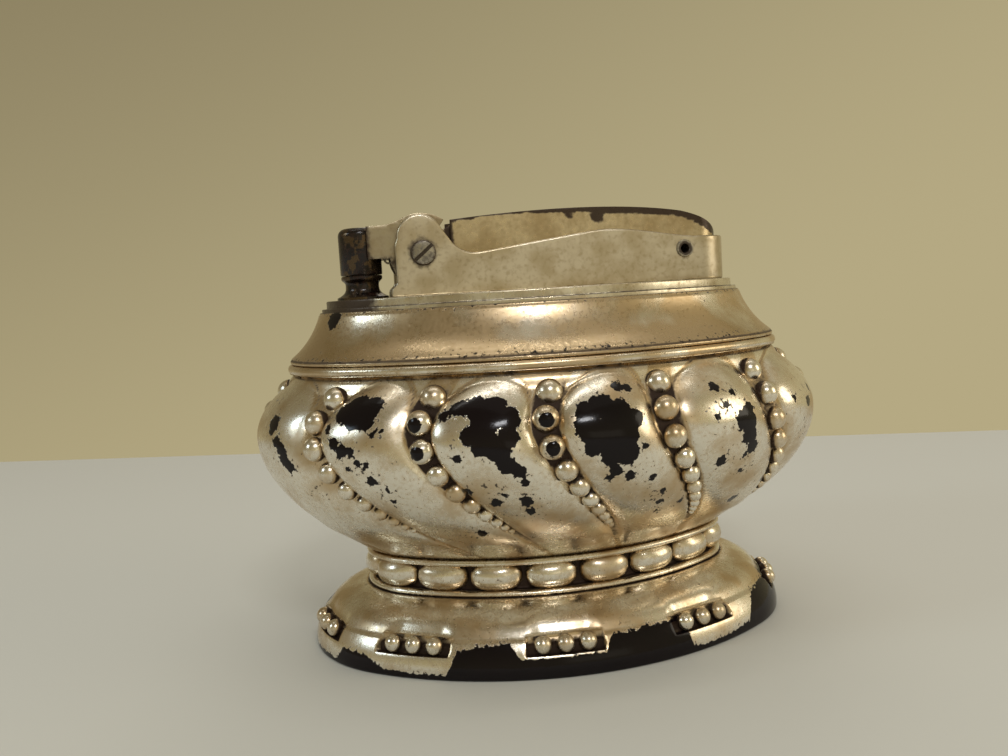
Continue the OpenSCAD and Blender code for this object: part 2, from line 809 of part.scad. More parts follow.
// A round wire of few sides along a list of points
module wire(pts, d, sides) {
    n = len(pts);
    rings = [for (i = [0:n - 1])
        let (ahead = pts[min(n - 1, i + 1)] - pts[max(0, i - 1)], dir = ahead / norm(ahead),
             across_dir = cross(dir, [0, 0, 1]), u = across_dir / norm(across_dir), v = cross(u, dir))
        [for (j = [0:sides - 1]) pts[i] + d / 2 * (u * cos(360 * j / sides) + v * sin(360 * j / sides))]];
    polyhedron(
        points = [for (r = rings) each r],
        faces = concat(
            [[for (j = [0:sides - 1]) j]],
            [for (i = [0:n - 2], j = [0:sides - 1])
                let (a = i * sides + j, b = i * sides + (j + 1) % sides)
                each [[a, a + sides, b], [b, a + sides, b + sides]]],
            [[for (j = [sides - 1:-1:0]) (n - 1) * sides + j]]
        ),
        convexity = 8
    );
}

module return_spring() {
    rings = 8 * spring_turns;
    color(steel) wire([for (i = [0:rings]) spring_point(i / rings)], spring_wire, 6);
}

// Flint tube from the base up to the wheel, and what it holds
wheel_low = axle_z - wheel_r;
flint_top = wheel_low - 0.1;
tube_bore = flint_r + 0.1;
tube_low = base_z;
screw_len = 4.5;
follower_h = 2.5;
module flint_tube() {
    color(brass)
        difference() {
            post(flint_x, flint_tube_r, tube_low, wheel_low - 0.7);
            post(flint_x, tube_bore, tube_low - cut_over, deck_z + axle_h);
        }
}

module flint() {
    color(dark_silver) post(flint_x, flint_r, flint_top - flint_len, flint_top);
}

module flint_follower() {
    top = flint_top - flint_len;
    color(brass) {
        post(flint_x, flint_r, top - 0.8, top);
        post(flint_x, flint_r - 0.6, top - follower_h, top - 0.8);
    }
}

// The flint spring is hidden in its tube, so it is a plain sleeve
module flint_spring() {
    color(steel)
        difference() {
            post(flint_x, flint_r - 0.05, tube_low + screw_len, flint_top - flint_len - 0.8);
            post(flint_x, flint_r - 0.45, tube_low + screw_len - cut_over, flint_top);
        }
}

module flint_screw() {
    color(brass)
        difference() {
            union() {
                post(flint_x, tube_bore - run_gap, tube_low - 0.1, tube_low + screw_len);
                post(flint_x, 2.6, tube_low - 1.1, tube_low - 0.1);
            }
            translate([flint_x, 0, tube_low - 1.1]) cube([6, 0.7, 0.8], center = true);
        }
}

// Filler screw and its washer, under the tank
washer_t = 0.5;
module filler_screw() {
    color(brass)
        difference() {
            union() {
                post(filler_x, filler_r, tank_z - washer_t, tank_z + filler_boss_h);
                post(filler_x, filler_head_r, tank_z - washer_t - 1.2, tank_z - washer_t);
            }
            translate([filler_x, 0, tank_z - washer_t - 1.2]) cube([8, 1.1, 1], center = true);
        }
}

module filler_washer() {
    color(burnt)
        difference() {
            post(filler_x, filler_head_r - 0.1, tank_z - washer_t, tank_z - 0.02);
            post(filler_x, filler_r + seat_gap, tank_z - 2 * washer_t, tank_z + cut_over);
        }
}

// Thumb lever: a stamped cover over the frame's channel, open below and notched at the front
module lever_outline() {
    polygon(concat(
        curve(lever_line, 10),
        curve(lever_heel, 6),
        [[lever_end_x, rivet_z - 0.5], [rivet_x + 3, rivet_z - 2.5], [rivet_x - 3, rivet_z - 2.9]],
        [[lever_front_x, deck_z + 6]]
    ));
}

module thumb_lever() {
    tall = deck_z + 3 * axle_h;
    color(silver)
        difference() {
            intersection() {
                across(2 * lever_half) lever_outline();
                linear_extrude(tall) frame_plan(lever_half, lever_front_x - cut_over);
            }
            intersection() {
                translate([0, 0, -lever_skin]) across(2 * lever_half) lever_outline();
                linear_extrude(tall) frame_plan(lever_half - lever_wall, lever_front_x - cut_over);
            }
            translate([lever_front_x - cut_over, lever_wall - lever_half, deck_z])
                cube([lever_notch + cut_over, 2 * (lever_half - lever_wall), 3 * axle_h]);
            cross_rod(rivet_at, rivet_r + run_gap, 3 * frame_half);
            cross_rod(pin_at, pin_r + seat_gap, 3 * frame_half);
        }
}

// Drive pin between the lever's cheeks, which works in the snuffer's fork
pin_at = axle_at + [6.3, 2.6];
module drive_pin() {
    color(steel) cross_rod(pin_at, pin_r, 2 * lever_half);
}

// Snuffer: hood over the wheel, arm to the cap, and a fork behind for the drive pin
fork_angle = atan2(pin_at[1] - axle_z, pin_at[0] - axle_x);
fork_slot = pin_r + 0.25;
fork_wall = 0.9;
fork_root = norm(pin_at - axle_at) - pin_r - 1;
fork_len = fork_root + 2.5;
cheek_r = 4.6;
arm_low = axle_z - 0.4;
arm_top = [wick_x + cap_r - 2, axle_z + 4.2];
hood_start = 117;
hood_end = 54;
function arm_line(t) =
    let (end = axle_at + polar(hood_r - t, hood_start), along = polar(1.4, hood_start - 90))
    curve([arm_top + [0, -t], arm_top + [3.2, -t], end - along, end], 6);
module fork_outline() {
    translate(axle_at)
        rotate(fork_angle)
            difference() {
                translate([0, -fork_slot - fork_wall]) square([fork_len, 2 * (fork_slot + fork_wall)]);
                translate([fork_root, -fork_slot]) square([fork_len, 2 * fork_slot]);
            }
}

module hood_sector(r) {
    translate(axle_at)
        polygon(concat([[0, 0]], [for (i = [0:8]) polar(r, hood_end + i * (180 - hood_end) / 8)]));
}

module snuffer_side() {
    translate(axle_at) circle(cheek_r);
    fork_outline();
    intersection() {
        translate(axle_at) circle(hood_r);
        hood_sector(2 * hood_r);
    }
    polygon(concat([[arm_top[0], arm_low]], arm_line(0), [axle_at, [axle_x - cheek_r, arm_low]]));
}

module snuffer_skin() {
    intersection() {
        difference() {
            translate(axle_at) circle(hood_r);
            translate(axle_at) circle(hood_r - snuffer_t);
        }
        translate(axle_at)
            polygon(concat(
                [[0, 0]],
                [for (i = [0:6]) polar(2 * hood_r, hood_end + i * (hood_start - hood_end) / 6)]
            ));
    }
    under = arm_line(snuffer_t);
    polygon(concat(arm_line(0), [for (i = [len(under) - 1:-1:0]) under[i]]));
}

pawl_at = axle_at + [-4.6, -0.3];
pawl_y = 1.85;
pawl_t = 0.7;
module snuffer_arm() {
    color(silver)
        difference() {
            union() {
                for (side = [-1, 1])
                    across(snuffer_t, side * (snuffer_half - snuffer_t / 2)) snuffer_side();
                across(2 * snuffer_half) snuffer_skin();
                cross_rod(pawl_at, 0.4, 1.3, snuffer_half - snuffer_t - 0.65);
            }
            cross_rod(axle_at, bush_r + run_gap, 3 * snuffer_half);
            post(wick_x, cap_r + seat_gap, deck_z, deck_z + 3 * axle_h);
        }
}

// Snuffer cap: a small drawn cup that shuts on the burner's flange
cap_z = deck_z + burner_h + 0.1;
module snuffer_cap() {
    round_r = 1.1;
    color(burnt)
        translate([wick_x, 0, 0])
            difference() {
                rotate_extrude() {
                    polygon([
                        [0, cap_z],
                        [cap_r - 0.1, cap_z],
                        [cap_r, cap_z + 2],
                        [cap_r, cap_z + cap_h - round_r],
                        [cap_r - round_r, cap_z + cap_h - round_r],
                        [cap_r - round_r, cap_z + cap_h],
                        [0, cap_z + cap_h]
                    ]);
                    translate([cap_r - round_r, cap_z + cap_h - round_r]) circle(round_r);
                }
                translate([0, 0, cap_z - cut_over])
                    cylinder(r = cap_r - cap_wall, h = cap_h - snuffer_t + cut_over);
            }
}

// Pawl in the snuffer's arm, which catches the ratchet wheel on the way up
ratchet_y = 1.3;
ratchet_w = 1;
module pawl() {
    nose = axle_at + polar(ratchet_r - 0.1, 162);
    reach = nose - pawl_at;
    lean = atan2(reach[1], reach[0]);
    color(steel)
        difference() {
            across(pawl_t, pawl_y)
                translate(pawl_at)
                    rotate(lean)
                        polygon(concat(
                            arc([0, 0], 0.75, 60, 300, 12),
                            [[norm(reach) - 0.5, -0.35], [norm(reach) - 0.18, 0]],
                            [[norm(reach) - 0.35, 0.55]]
                        ));
            cross_rod(pawl_at, 0.45, 3 * pawl_t, pawl_y);
        }
}

// Leaf that presses the pawl: a thin strip from the arm's top
module pawl_spring() {
    foot_at = [pawl_at[0] - 0.9, arm_top[1] - snuffer_t];
    tip_at = pawl_at + [-0.2, 1.6];
    t = 0.2;
    color(steel)
        across(pawl_t, pawl_y)
            polygon([
                foot_at,
                foot_at + [1.6, 0],
                foot_at + [1.6, -t],
                foot_at + [t, -t],
                tip_at + [t, 0],
                tip_at,
                foot_at + [0, -t]
            ]);
}

// Spark wheel with cutting teeth, and the ratchet wheel pressed against its side
module toothed_disc(r, depth, teeth, lean) {
    polygon([for (i = [0:teeth - 1]) each [
        polar(r, 360 * (i + lean) / teeth),
        polar(r - depth, 360 * (i + 1) / teeth)
    ]]);
}

module spark_wheel() {
    color(dark_silver)
        difference() {
            across(wheel_w, ratchet_y - wheel_w / 2)
                translate(axle_at) toothed_disc(wheel_r, 0.35, wheel_teeth, 0.5);
            cross_rod(axle_at, bush_r + run_gap, 3 * wheel_w);
        }
}

module ratchet_wheel() {
    color(dark_silver)
        difference() {
            across(ratchet_w, ratchet_y + ratchet_w / 2)
                translate(axle_at) toothed_disc(ratchet_r, 0.6, ratchet_teeth, 0.1);
            cross_rod(axle_at, bush_r + run_gap, 3 * wheel_w);
        }
}

foot();
neck_band();
bowl();
collar();
base_plate();
retaining_nut();
top_plate();
fuel_tank();
cotton_packing();
wick();
burner();
frame();
axle_screw();
axle_bush();
lever_rivet();
return_spring();
flint_tube();
flint();
flint_follower();
flint_spring();
flint_screw();
filler_screw();
filler_washer();
thumb_lever();
drive_pin();
snuffer_arm();
snuffer_cap();
pawl_spring();
pawl();
spark_wheel();
ratchet_wheel();
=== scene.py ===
import json
import math

import bpy
from mathutils import Matrix, Vector


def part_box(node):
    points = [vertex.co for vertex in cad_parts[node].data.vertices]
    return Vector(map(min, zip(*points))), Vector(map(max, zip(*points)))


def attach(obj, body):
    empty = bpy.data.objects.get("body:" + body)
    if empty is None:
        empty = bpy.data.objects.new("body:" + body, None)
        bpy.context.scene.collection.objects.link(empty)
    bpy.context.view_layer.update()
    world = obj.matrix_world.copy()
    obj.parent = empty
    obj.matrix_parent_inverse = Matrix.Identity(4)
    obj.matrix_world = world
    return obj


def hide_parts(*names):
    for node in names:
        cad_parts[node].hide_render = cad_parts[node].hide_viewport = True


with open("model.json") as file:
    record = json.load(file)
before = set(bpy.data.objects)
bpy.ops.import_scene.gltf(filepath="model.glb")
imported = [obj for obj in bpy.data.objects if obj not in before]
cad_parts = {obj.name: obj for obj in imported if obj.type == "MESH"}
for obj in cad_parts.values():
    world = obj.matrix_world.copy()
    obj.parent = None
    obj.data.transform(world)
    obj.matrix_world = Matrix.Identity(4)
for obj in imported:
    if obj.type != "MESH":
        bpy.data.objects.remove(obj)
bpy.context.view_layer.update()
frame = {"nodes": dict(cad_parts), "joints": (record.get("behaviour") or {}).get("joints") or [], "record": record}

bl_info = {
    "name": "Table Lighter",
    "version": (1, 0, 0),
    "blender": (4, 5, 0),
    "location": "View3D > Sidebar > Lighter",
    "description": "Models a gadrooned table lighter in worn silver plate round its CAD frame",
    "category": "Add Mesh",
}

MM = 0.001
LO, HI = 0, 1


def top(cad_node):
    """Highest level of a CAD node."""
    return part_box(cad_node)[HI].z


def low(cad_node):
    """Lowest level of a CAD node."""
    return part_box(cad_node)[LO].z


# Levels of the lighter, read from its frame
NECK_Z = low("neck_band")
BOWL_Z = top("neck_band")
RIM_Z = low("collar")
PLATE_Z = low("top_plate")
DECK_Z = low("frame")
JOINTS = {j["name"]: Vector(j["pos_m"]) for j in frame["joints"] if "pos_m" in j}
AXLE = JOINTS["snuffer_lift"]
RIVET = JOINTS["lever_press"]
WICK_X = (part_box("wick")[LO].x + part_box("wick")[HI].x) / 2
FRAME_HALF = -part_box("frame")[LO].y
FRAME_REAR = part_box("frame")[HI].x - FRAME_HALF
FRONT_X = AXLE.x - 3.9 * MM


def length(name, default, description):
    """A size in metres that the user can change."""
    return bpy.props.FloatProperty(
        name=name,
        description=description,
        default=default,
        min=0.0,
        unit="LENGTH",
        precision=5,
    )


def srgb(code):
    """Turns an sRGB hex colour into the linear values that Blender works in."""
    parts = [int(code[i : i + 2], 16) / 255 for i in (1, 3, 5)]
    return tuple(c / 12.92 if c <= 0.04045 else ((c + 0.055) / 1.055) ** 2.4 for c in parts)


def tint(name, code, description):
    """A colour that the user can change."""
    return bpy.props.FloatVectorProperty(
        name=name,
        description=description,
        default=srgb(code),
        size=3,
        min=0,
        max=1,
        subtype="COLOR",
    )


class LighterSizes(bpy.types.PropertyGroup):
    """Sizes of the lighter's pieces"""

    end_centre: length("End centre", 16.5 * MM, "From the middle to the centre of each end arc")
    side_centre: length("Side centre", 22 * MM, "From the middle to the centre of each side arc")
    foot_half: length("Foot", 35.4 * MM, "Half length of the foot")
    recess_length: length("Recess", 10.6 * MM, "Length of one recess in the foot")
    recess_depth: length("Recess depth", 1.85 * MM, "How deep a recess goes in")
    small_bead: length("Small bead", 2.4 * MM, "Diameter of a bead on the foot")
    neck_half: length("Neck", 27.2 * MM, "Half length of the neck at its lips")
    neck_groove: length("Neck groove", 1.7 * MM, "Depth of the groove that holds the ovals")
    oval_length: length("Oval", 6.8 * MM, "Length of one oval bead round the neck")
    belly_half: length("Belly", 41.5 * MM, "Half length of the bowl at its belly")
    belly_height: length("Belly height", 31 * MM, "Height of the belly above the table")
    rim_half: length("Rim", 36.2 * MM, "Half length of the bowl at its rim")
    lobe_height: length("Lobe", 1.5 * MM, "How far a lobe stands out from its groove")
    row_bead: length("First bead", 3.5 * MM, "Diameter of the first bead of a row")
    row_bead_end: length("Last bead", 1.0 * MM, "Diameter of the last bead of a row")
    collar_top: length("Collar top", 31.4 * MM, "Half length of the collar at its top edge")
    collar_sweep: length("Collar sweep", 12.25 * MM, "Radius of the collar's hollow sweep")
    plate_half: length("Top plate", 30.3 * MM, "Half length of the top plate's upper step")
    sheet: length("Sheet", 0.6 * MM, "Thickness of the lever's and the snuffer's sheet")


class LighterFinish(bpy.types.PropertyGroup):
    """Colours of the lighter's finishes"""

    silver: tint("Silver", "#ECE6D8", "Worn silver plate")
    tan: tint("Tan", "#BFA57C", "Thin tarnish on silver plate")
    # The crud colour also paints the shade in crevices, recesses and bores
    crud_and_shade: tint("Crud", "#33241A", "Dark tarnish in crevices")
    bare: tint("Bare metal", "#140C0E", "Blackened metal where the plate has gone")
    depths: tint("Bare depths", "#0C090A", "The same in clouds")
    steel: tint("Frame", "#CFC5B0", "Satin plated steel strip")
    steel_stain: tint("Frame stain", "#A4926E", "Stains on the frame")
    deck: tint("Top plate", "#DCD4C0", "Dull plated brass sheet")
    deck_stain: tint("Top plate stain", "#A08E6C", "Stains on the top plate")
    lever: tint("Lever", "#C3B392", "Worn plate of the lever")
    lever_stain: tint("Lever stain", "#9A845E", "Stains on the lever")
    snuffer: tint("Snuffer", "#AEA38B", "Smoked plate of the snuffer")
    snuffer_stain: tint("Snuffer stain", "#8E7B5C", "Stains on the snuffer")
    turned: tint("Turned steel", "#B0A99A", "Screw, rivet and springs")
    hard: tint("Hard steel", "#4A443E", "Wheels and flint")
    soot: tint("Soot", "#150F0C", "Burnt metal round the flame")
    ember: tint("Baked soot", "#3A2015", "Browner grains in the soot")
    rubbed: tint("Rubbed soot", "#5E4E3A", "Brass where the soot is rubbed through")
    brass: tint("Brass", "#B08D4B", "Dull brass inside")
    cotton: tint("Cotton", "#D8CDB4", "Cotton of the wick")
    fibre: tint("Fibre", "#6A3A22", "Fibre of the filler's washer")
    floor: tint("Floor", "#C2C0B3", "Pale floor")
    backdrop: tint("Backdrop", "#B5A983", "Plain backdrop where it is lightest")
    ceiling: tint("Ceiling", "#7F7457", "The backdrop's shade overhead")
    daylight: tint("Daylight", "#FFFBF4", "Even light from all round")


# Plan: a four-centre oval
def arc_gap():
    """Distance between the centre of an end arc and the centre of a side arc."""
    s = bpy.context.scene.lighter_sizes
    return math.hypot(s.end_centre, s.side_centre)


def arc_half():
    """Half the angle that an end arc spans."""
    s = bpy.context.scene.lighter_sizes
    return math.atan2(s.side_centre, s.end_centre)


def oval_lengths(half):
    """Lengths of a side arc and an end arc at a half length."""
    s = bpy.context.scene.lighter_sizes
    side = (half - s.end_centre + arc_gap()) * (math.pi - 2 * arc_half())
    end = (half - s.end_centre) * 2 * arc_half()
    return side, end


def facing(share, half):
    """Direction in which the outline faces at a share of the way round from the front's middle."""
    s = bpy.context.scene.lighter_sizes
    side, end = oval_lengths(half)
    end_r = half - s.end_centre
    side_r = end_r + arc_gap()
    way = (share % 1.0) * 2 * (side + end)
    if way < side / 2:
        return -math.pi / 2 + way / side_r
    if way < side / 2 + end:
        return -arc_half() + (way - side / 2) / end_r
    if way < side * 1.5 + end:
        return arc_half() + (way - side / 2 - end) / side_r
    if way < side * 1.5 + 2 * end:
        return math.pi - arc_half() + (way - side * 1.5 - end) / end_r
    return math.pi + arc_half() + (way - side * 1.5 - 2 * end) / side_r


def oval_point(half, angle, z=0.0):
    """Point of the outline that faces a direction."""
    s = bpy.context.scene.lighter_sizes
    end_r = half - s.end_centre
    side_r = end_r + arc_gap()
    a = (angle + math.pi) % (2 * math.pi) - math.pi
    if abs(a) <= arc_half():
        return Vector((s.end_centre + end_r * math.cos(a), end_r * math.sin(a), z))
    if abs(a) >= math.pi - arc_half():
        return Vector((-s.end_centre + end_r * math.cos(a), end_r * math.sin(a), z))
    middle = s.side_centre if a < 0 else -s.side_centre
    return Vector((side_r * math.cos(a), middle + side_r * math.sin(a), z))


def round_point(share, half, z=0.0):
    """Point of the outline at a share of the way round."""
    return oval_point(half, facing(share, half), z)


# Curves in a side view
def cubic(p, steps):
    """Points of a cubic curve with four control points."""
    return [cubic_at(p, i / steps) for i in range(steps + 1)]


def cubic_at(p, t):
    """Point of a cubic curve at a share of its way."""
    weights = ((1 - t) ** 3, 3 * t * (1 - t) ** 2, 3 * t * t * (1 - t), t**3)
    return tuple(sum(w * c[i] for w, c in zip(weights, p)) for i in (0, 1))


def arc(centre, radius, start, end, steps):
    """Points of an arc, with its angles in degrees."""
    angles = [math.radians(start + i * (end - start) / steps) for i in range(steps + 1)]
    return [(centre[0] + radius * math.cos(a), centre[1] + radius * math.sin(a)) for a in angles]


def in_mm(points, up=0.0):
    """Points drawn in millimetres, moved up to a level."""
    return [(across * MM, height * MM + up) for across, height in points]


def smooth(x):
    """Soft step from 0 to 1."""
    x = min(1.0, max(0.0, x))
    return x * x * (3 - 2 * x)


# Modelling
def start_piece():
    """Leaves edit mode and deselects everything, so that an operator acts on one piece."""
    if bpy.context.object and bpy.context.object.mode != "OBJECT":
        bpy.ops.object.mode_set(mode="OBJECT")
    bpy.ops.object.select_all(action="DESELECT")


def edit(piece):
    """Opens a piece in edit mode with all of its mesh selected."""
    start_piece()
    piece.select_set(True)
    bpy.context.view_layer.objects.active = piece
    bpy.ops.object.mode_set(mode="EDIT")
    bpy.ops.mesh.select_all(action="SELECT")


def close_edit(piece, merge=0.002 * MM):
    """Merges doubles, turns the faces outwards and leaves edit mode."""
    edit(piece)
    bpy.ops.mesh.remove_doubles(threshold=merge)
    bpy.ops.mesh.select_all(action="SELECT")
    bpy.ops.mesh.normals_make_consistent(inside=False)
    bpy.ops.object.mode_set(mode="OBJECT")


def finish_piece(piece, name, angle):
    """Names a piece, smooths its shading and puts its place into its mesh."""
    start_piece()
    piece.select_set(True)
    bpy.context.view_layer.objects.active = piece
    bpy.ops.object.transform_apply(location=True, rotation=True, scale=True)
    bpy.ops.object.shade_smooth_by_angle(angle=math.radians(angle))
    piece.name = name
    piece.data.name = name
    return piece


def ring_of(points):
    """A closed ring of edges through points, shaped from a circle."""
    start_piece()
    bpy.ops.mesh.primitive_circle_add(vertices=len(points), fill_type="NOTHING")
    ring = bpy.context.object
    ring.data.vertices.foreach_set("co", [c for p in points for c in p])
    ring.data.update()
    return ring


def oval_sweep(profile, side_steps=44, end_steps=52):
    """Spins a closed profile of half lengths and heights round the oval's four arcs."""
    s = bpy.context.scene.lighter_sizes
    start = math.pi + arc_half()
    piece = ring_of([oval_point(half, start, z) for half, z in profile])
    edit(piece)
    side_turn, end_turn = math.pi - 2 * arc_half(), 2 * arc_half()
    for x, y, turn, steps in (
        (0, s.side_centre, side_turn, side_steps),
        (s.end_centre, 0, end_turn, end_steps),
        (0, -s.side_centre, side_turn, side_steps),
        (-s.end_centre, 0, end_turn, end_steps),
    ):
        bpy.ops.mesh.spin(steps=steps, angle=-turn, center=(x, y, 0), axis=(0, 0, 1))
    close_edit(piece)
    return piece


# A profile that is turned keeps this far off its axis, in millimetres
AXIS_GAP = 0.02


def turned(profile, centre, axis="Z", steps=48):
    """Turns a closed profile of radii and places along an axis, as on a lathe."""
    along = {"Z": Vector((0, 0, 1)), "Y": Vector((0, 1, 0))}[axis]
    centre = Vector(centre)
    piece = ring_of([centre + Vector((r, 0, 0)) + along * place for r, place in profile])
    edit(piece)
    bpy.ops.mesh.spin(steps=steps, angle=2 * math.pi, center=centre, axis=along)
    close_edit(piece)
    return piece


def slab(outline, width, middle=0.0):
    """An outline drawn in X and Z, extruded across the lighter."""
    start_piece()
    bpy.ops.mesh.primitive_circle_add(vertices=len(outline), fill_type="NGON")
    piece = bpy.context.object
    front = middle - width / 2
    piece.data.vertices.foreach_set("co", [c for x, z in outline for c in (x, front, z)])
    piece.data.update()
    edit(piece)
    bpy.ops.mesh.extrude_region_move(TRANSFORM_OT_translate={"value": (0, width, 0)})
    close_edit(piece)
    return piece


def upright(outline, bottom, height):
    """An outline drawn in plan, extruded upwards."""
    start_piece()
    bpy.ops.mesh.primitive_circle_add(vertices=len(outline), fill_type="NGON")
    piece = bpy.context.object
    piece.data.vertices.foreach_set("co", [c for x, y in outline for c in (x, y, bottom)])
    piece.data.update()
    edit(piece)
    bpy.ops.mesh.extrude_region_move(TRANSFORM_OT_translate={"value": (0, 0, height)})
    close_edit(piece)
    return piece


def rod(radius, pivot, axis):
    """A plain rod through a pivot, used as a cutter for bores."""
    start_piece()
    bpy.ops.mesh.primitive_cylinder_add(
        vertices=40,
        radius=radius,
        depth=20 * MM,
        location=(pivot[0], 0, pivot[2]),
        rotation=(math.pi / 2, 0, 0) if axis == "Y" else (0, 0, 0),
    )
    return bpy.context.object


def coil(wire, radius, middle_x, bottom, height, turns, turn_steps=24):
    """A helical spring of round wire, standing on a flat end turn."""
    start_piece()
    sides = 8
    bpy.ops.mesh.primitive_circle_add(
        vertices=sides,
        radius=wire / 2,
        fill_type="NGON",
        location=(middle_x + radius, 0, bottom + wire / 2),
        rotation=(math.pi / 2, 0, 0),
    )
    piece = bpy.context.object
    bpy.ops.object.transform_apply(location=True, rotation=True, scale=True)
    edit(piece)
    bpy.ops.mesh.spin(
        steps=turns * turn_steps,
        angle=-turns * 2 * math.pi,
        center=(middle_x, 0, 0),
        axis=(0, 0, 1),
    )
    bpy.ops.object.mode_set(mode="OBJECT")
    for v in piece.data.vertices:
        # Half a turn lies flat at each end
        gone_round = (v.index // sides) / turn_steps
        climb = min(1.0, max(0.0, (gone_round - 0.5) / (turns - 1)))
        v.co.z += climb * (height - wire)
    close_edit(piece, 0.001 * MM)
    return piece


def combine(piece, tool, how):
    """Cuts, joins or intersects a piece with a tool, and removes the tool."""
    start_piece()
    bpy.context.view_layer.objects.active = piece
    piece.select_set(True)
    step = piece.modifiers.new("Combine", "BOOLEAN")
    step.operation = how
    step.solver = "EXACT"
    step.object = tool
    bpy.ops.object.modifier_apply(modifier=step.name)
    bpy.data.objects.remove(tool)
    return piece


def soften(piece, width, segments=2, angle=35):
    """Rounds the sharp edges of a piece."""
    start_piece()
    bpy.context.view_layer.objects.active = piece
    piece.select_set(True)
    step = piece.modifiers.new("Soften", "BEVEL")
    step.width = width
    step.segments = segments
    step.limit_method = "ANGLE"
    step.angle_limit = math.radians(angle)
    step.use_clamp_overlap = True
    bpy.ops.object.modifier_apply(modifier=step.name)
    return piece


def scored(piece, step=0.6 * MM, across=False):
    """Cuts a piece's flats into small cells, so that wear can be stored on them."""
    edit(piece)
    low_end = Vector([min(v.co[i] for v in piece.data.vertices) for i in range(3)])
    high_end = Vector([max(v.co[i] for v in piece.data.vertices) for i in range(3)])
    cuts = [(0, (1, 0, 0)), (2, (0, 0, 1))] + ([(1, (0, 1, 0))] if across else [])
    # The cuts keep off round places, where a flat could lie in their plane
    aside = 0.37
    for axis, normal in cuts:
        count = int((high_end[axis] - low_end[axis]) / step)
        for i in range(1, count + 1):
            at = low_end.copy()
            at[axis] += (i - aside) * step
            bpy.ops.mesh.select_all(action="SELECT")
            bpy.ops.mesh.bisect(plane_co=at, plane_no=normal)
    bpy.ops.object.mode_set(mode="OBJECT")
    return piece


def evenly(points, count):
    """A number of points out of many, evenly spread from the first to the last."""
    return [points[round(i * (len(points) - 1) / (count - 1))] for i in range(count)]


def along_line(line, x):
    """Value at a place along a line of (place, value) points."""
    for (x0, v0), (x1, v1) in zip(line, line[1:]):
        if x0 <= x <= x1:
            return v0 + (v1 - v0) * (x - x0) / (x1 - x0)
    return line[0][1] if x < line[0][0] else line[-1][1]


def spot(point, centre, radius):
    """How near a point is to the middle of a spot."""
    return smooth(1.5 - (point - Vector(centre) * MM).length / (radius * MM))


def grid_skin(rows, round_steps, place):
    """A grid bent round the lighter: place(column share, row) gives a corner, its dirt with its painted shade, and
    how bare it is.
    """
    start_piece()
    bpy.ops.mesh.primitive_grid_add(x_subdivisions=round_steps, y_subdivisions=rows - 1, size=2)
    piece = bpy.context.object
    corners, grime_and_shade, bare = [], [], []
    for v in piece.data.vertices:
        column = round((v.co.x + 1) / 2 * round_steps)
        row = round((v.co.y + 1) / 2 * (rows - 1))
        point, dirt, gone = place(column / round_steps, row)
        corners.extend(point)
        grime_and_shade.append(dirt)
        bare.append(gone)
    piece.data.vertices.foreach_set("co", corners)
    write_wear(piece, "grime_and_shade", grime_and_shade)
    write_wear(piece, "bare", bare)
    piece.data.update()
    return piece


def write_wear(piece, name, values):
    """Stores one number per corner, which the finish reads."""
    store = piece.data.attributes.get(name) or piece.data.attributes.new(name, "FLOAT", "POINT")
    store.data.foreach_set("value", values)


def wear(piece, name, rule):
    """Stores a number, the same everywhere or worked out from the place of each corner."""
    corners = piece.data.vertices
    write_wear(piece, name, [rule(v.co) if callable(rule) else rule for v in corners])


def complete(piece, name, angle=35, grime_and_shade=0.0, bare=0.0):
    """Finishes a piece's mesh and stores its dirt with its painted shade, and how bare it is."""
    finish_piece(piece, name, angle)
    wear(piece, "grime_and_shade", grime_and_shade)
    wear(piece, "bare", bare)
    return piece


def give(piece, material, body, slot_name, *nodes):
    """Gives a piece its finish and its body, and hides the CAD nodes that it stands for."""
    piece.data.materials.clear()
    piece.data.materials.append(material)
    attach(piece, body)
    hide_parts(*nodes)
    return piece


# Bowl: its side, its swing and its lobes
LOBES = 14
ROW_BEADS = 10
ROW_PHASE = 0.16
# Degrees by which a row swings down to the neck, and back above its turning point
SWIRL = 28
BACK_SWING = 4.3
# How far each row has drifted from even spacing round the belly, in millimetres
ROW_DRIFT = (0, 0, 2.5, 7.6, 6.4, 4.9, 3.4, 1.9, 0.2, -1.6, -3.9, -6.8, 0.5, 0)
LOBE_TOP_Z = 39.6 * MM
LOBE_WIDTH = 16.3 * MM
TURN_Z = 32.9 * MM
# From the neck's lips in to the bore through foot, neck and bowl
NECK_DEPTH = 3.7 * MM


def bowl_side(t):
    """Half length and height of the bowl from the lobes' top (0) to the neck (1)."""
    s = bpy.context.scene.lighter_sizes
    belly, z = s.belly_half, s.belly_height
    if t < 1 / 3:
        upper = (
            (belly, z),
            (belly, z + 0.4 * (LOBE_TOP_Z - z)),
            (s.rim_half + 0.42 * (belly - s.rim_half), LOBE_TOP_Z - 0.28 * (LOBE_TOP_Z - z)),
            (s.rim_half, LOBE_TOP_Z),
        )
        return cubic_at(upper, 1 - 3 * t)
    lower = (
        (s.neck_half - 0.6 * MM, BOWL_Z),
        (s.neck_half + 5.2 * MM, BOWL_Z + 3 * MM),
        (belly, z - 0.42 * (z - BOWL_Z)),
        (belly, z),
    )
    return cubic_at(lower, 1.5 * (1 - t))


def swing(z):
    """Share of a turn by which the rows have swung at a height."""
    down = max(0.0, TURN_Z - z) / (TURN_Z - BOWL_Z)
    up = max(0.0, z - TURN_Z) / (LOBE_TOP_Z - TURN_Z)
    return (SWIRL * down**1.5 - BACK_SWING * (1 - up * up)) / 360


def belly_length():
    """Length round the belly."""
    return 2 * sum(oval_lengths(bpy.context.scene.lighter_sizes.belly_half))


def row_share(k):
    """Place of a row of beads round the bowl, before it swings."""
    return (k - ROW_PHASE) / LOBES + ROW_DRIFT[k % LOBES] * MM / belly_length()


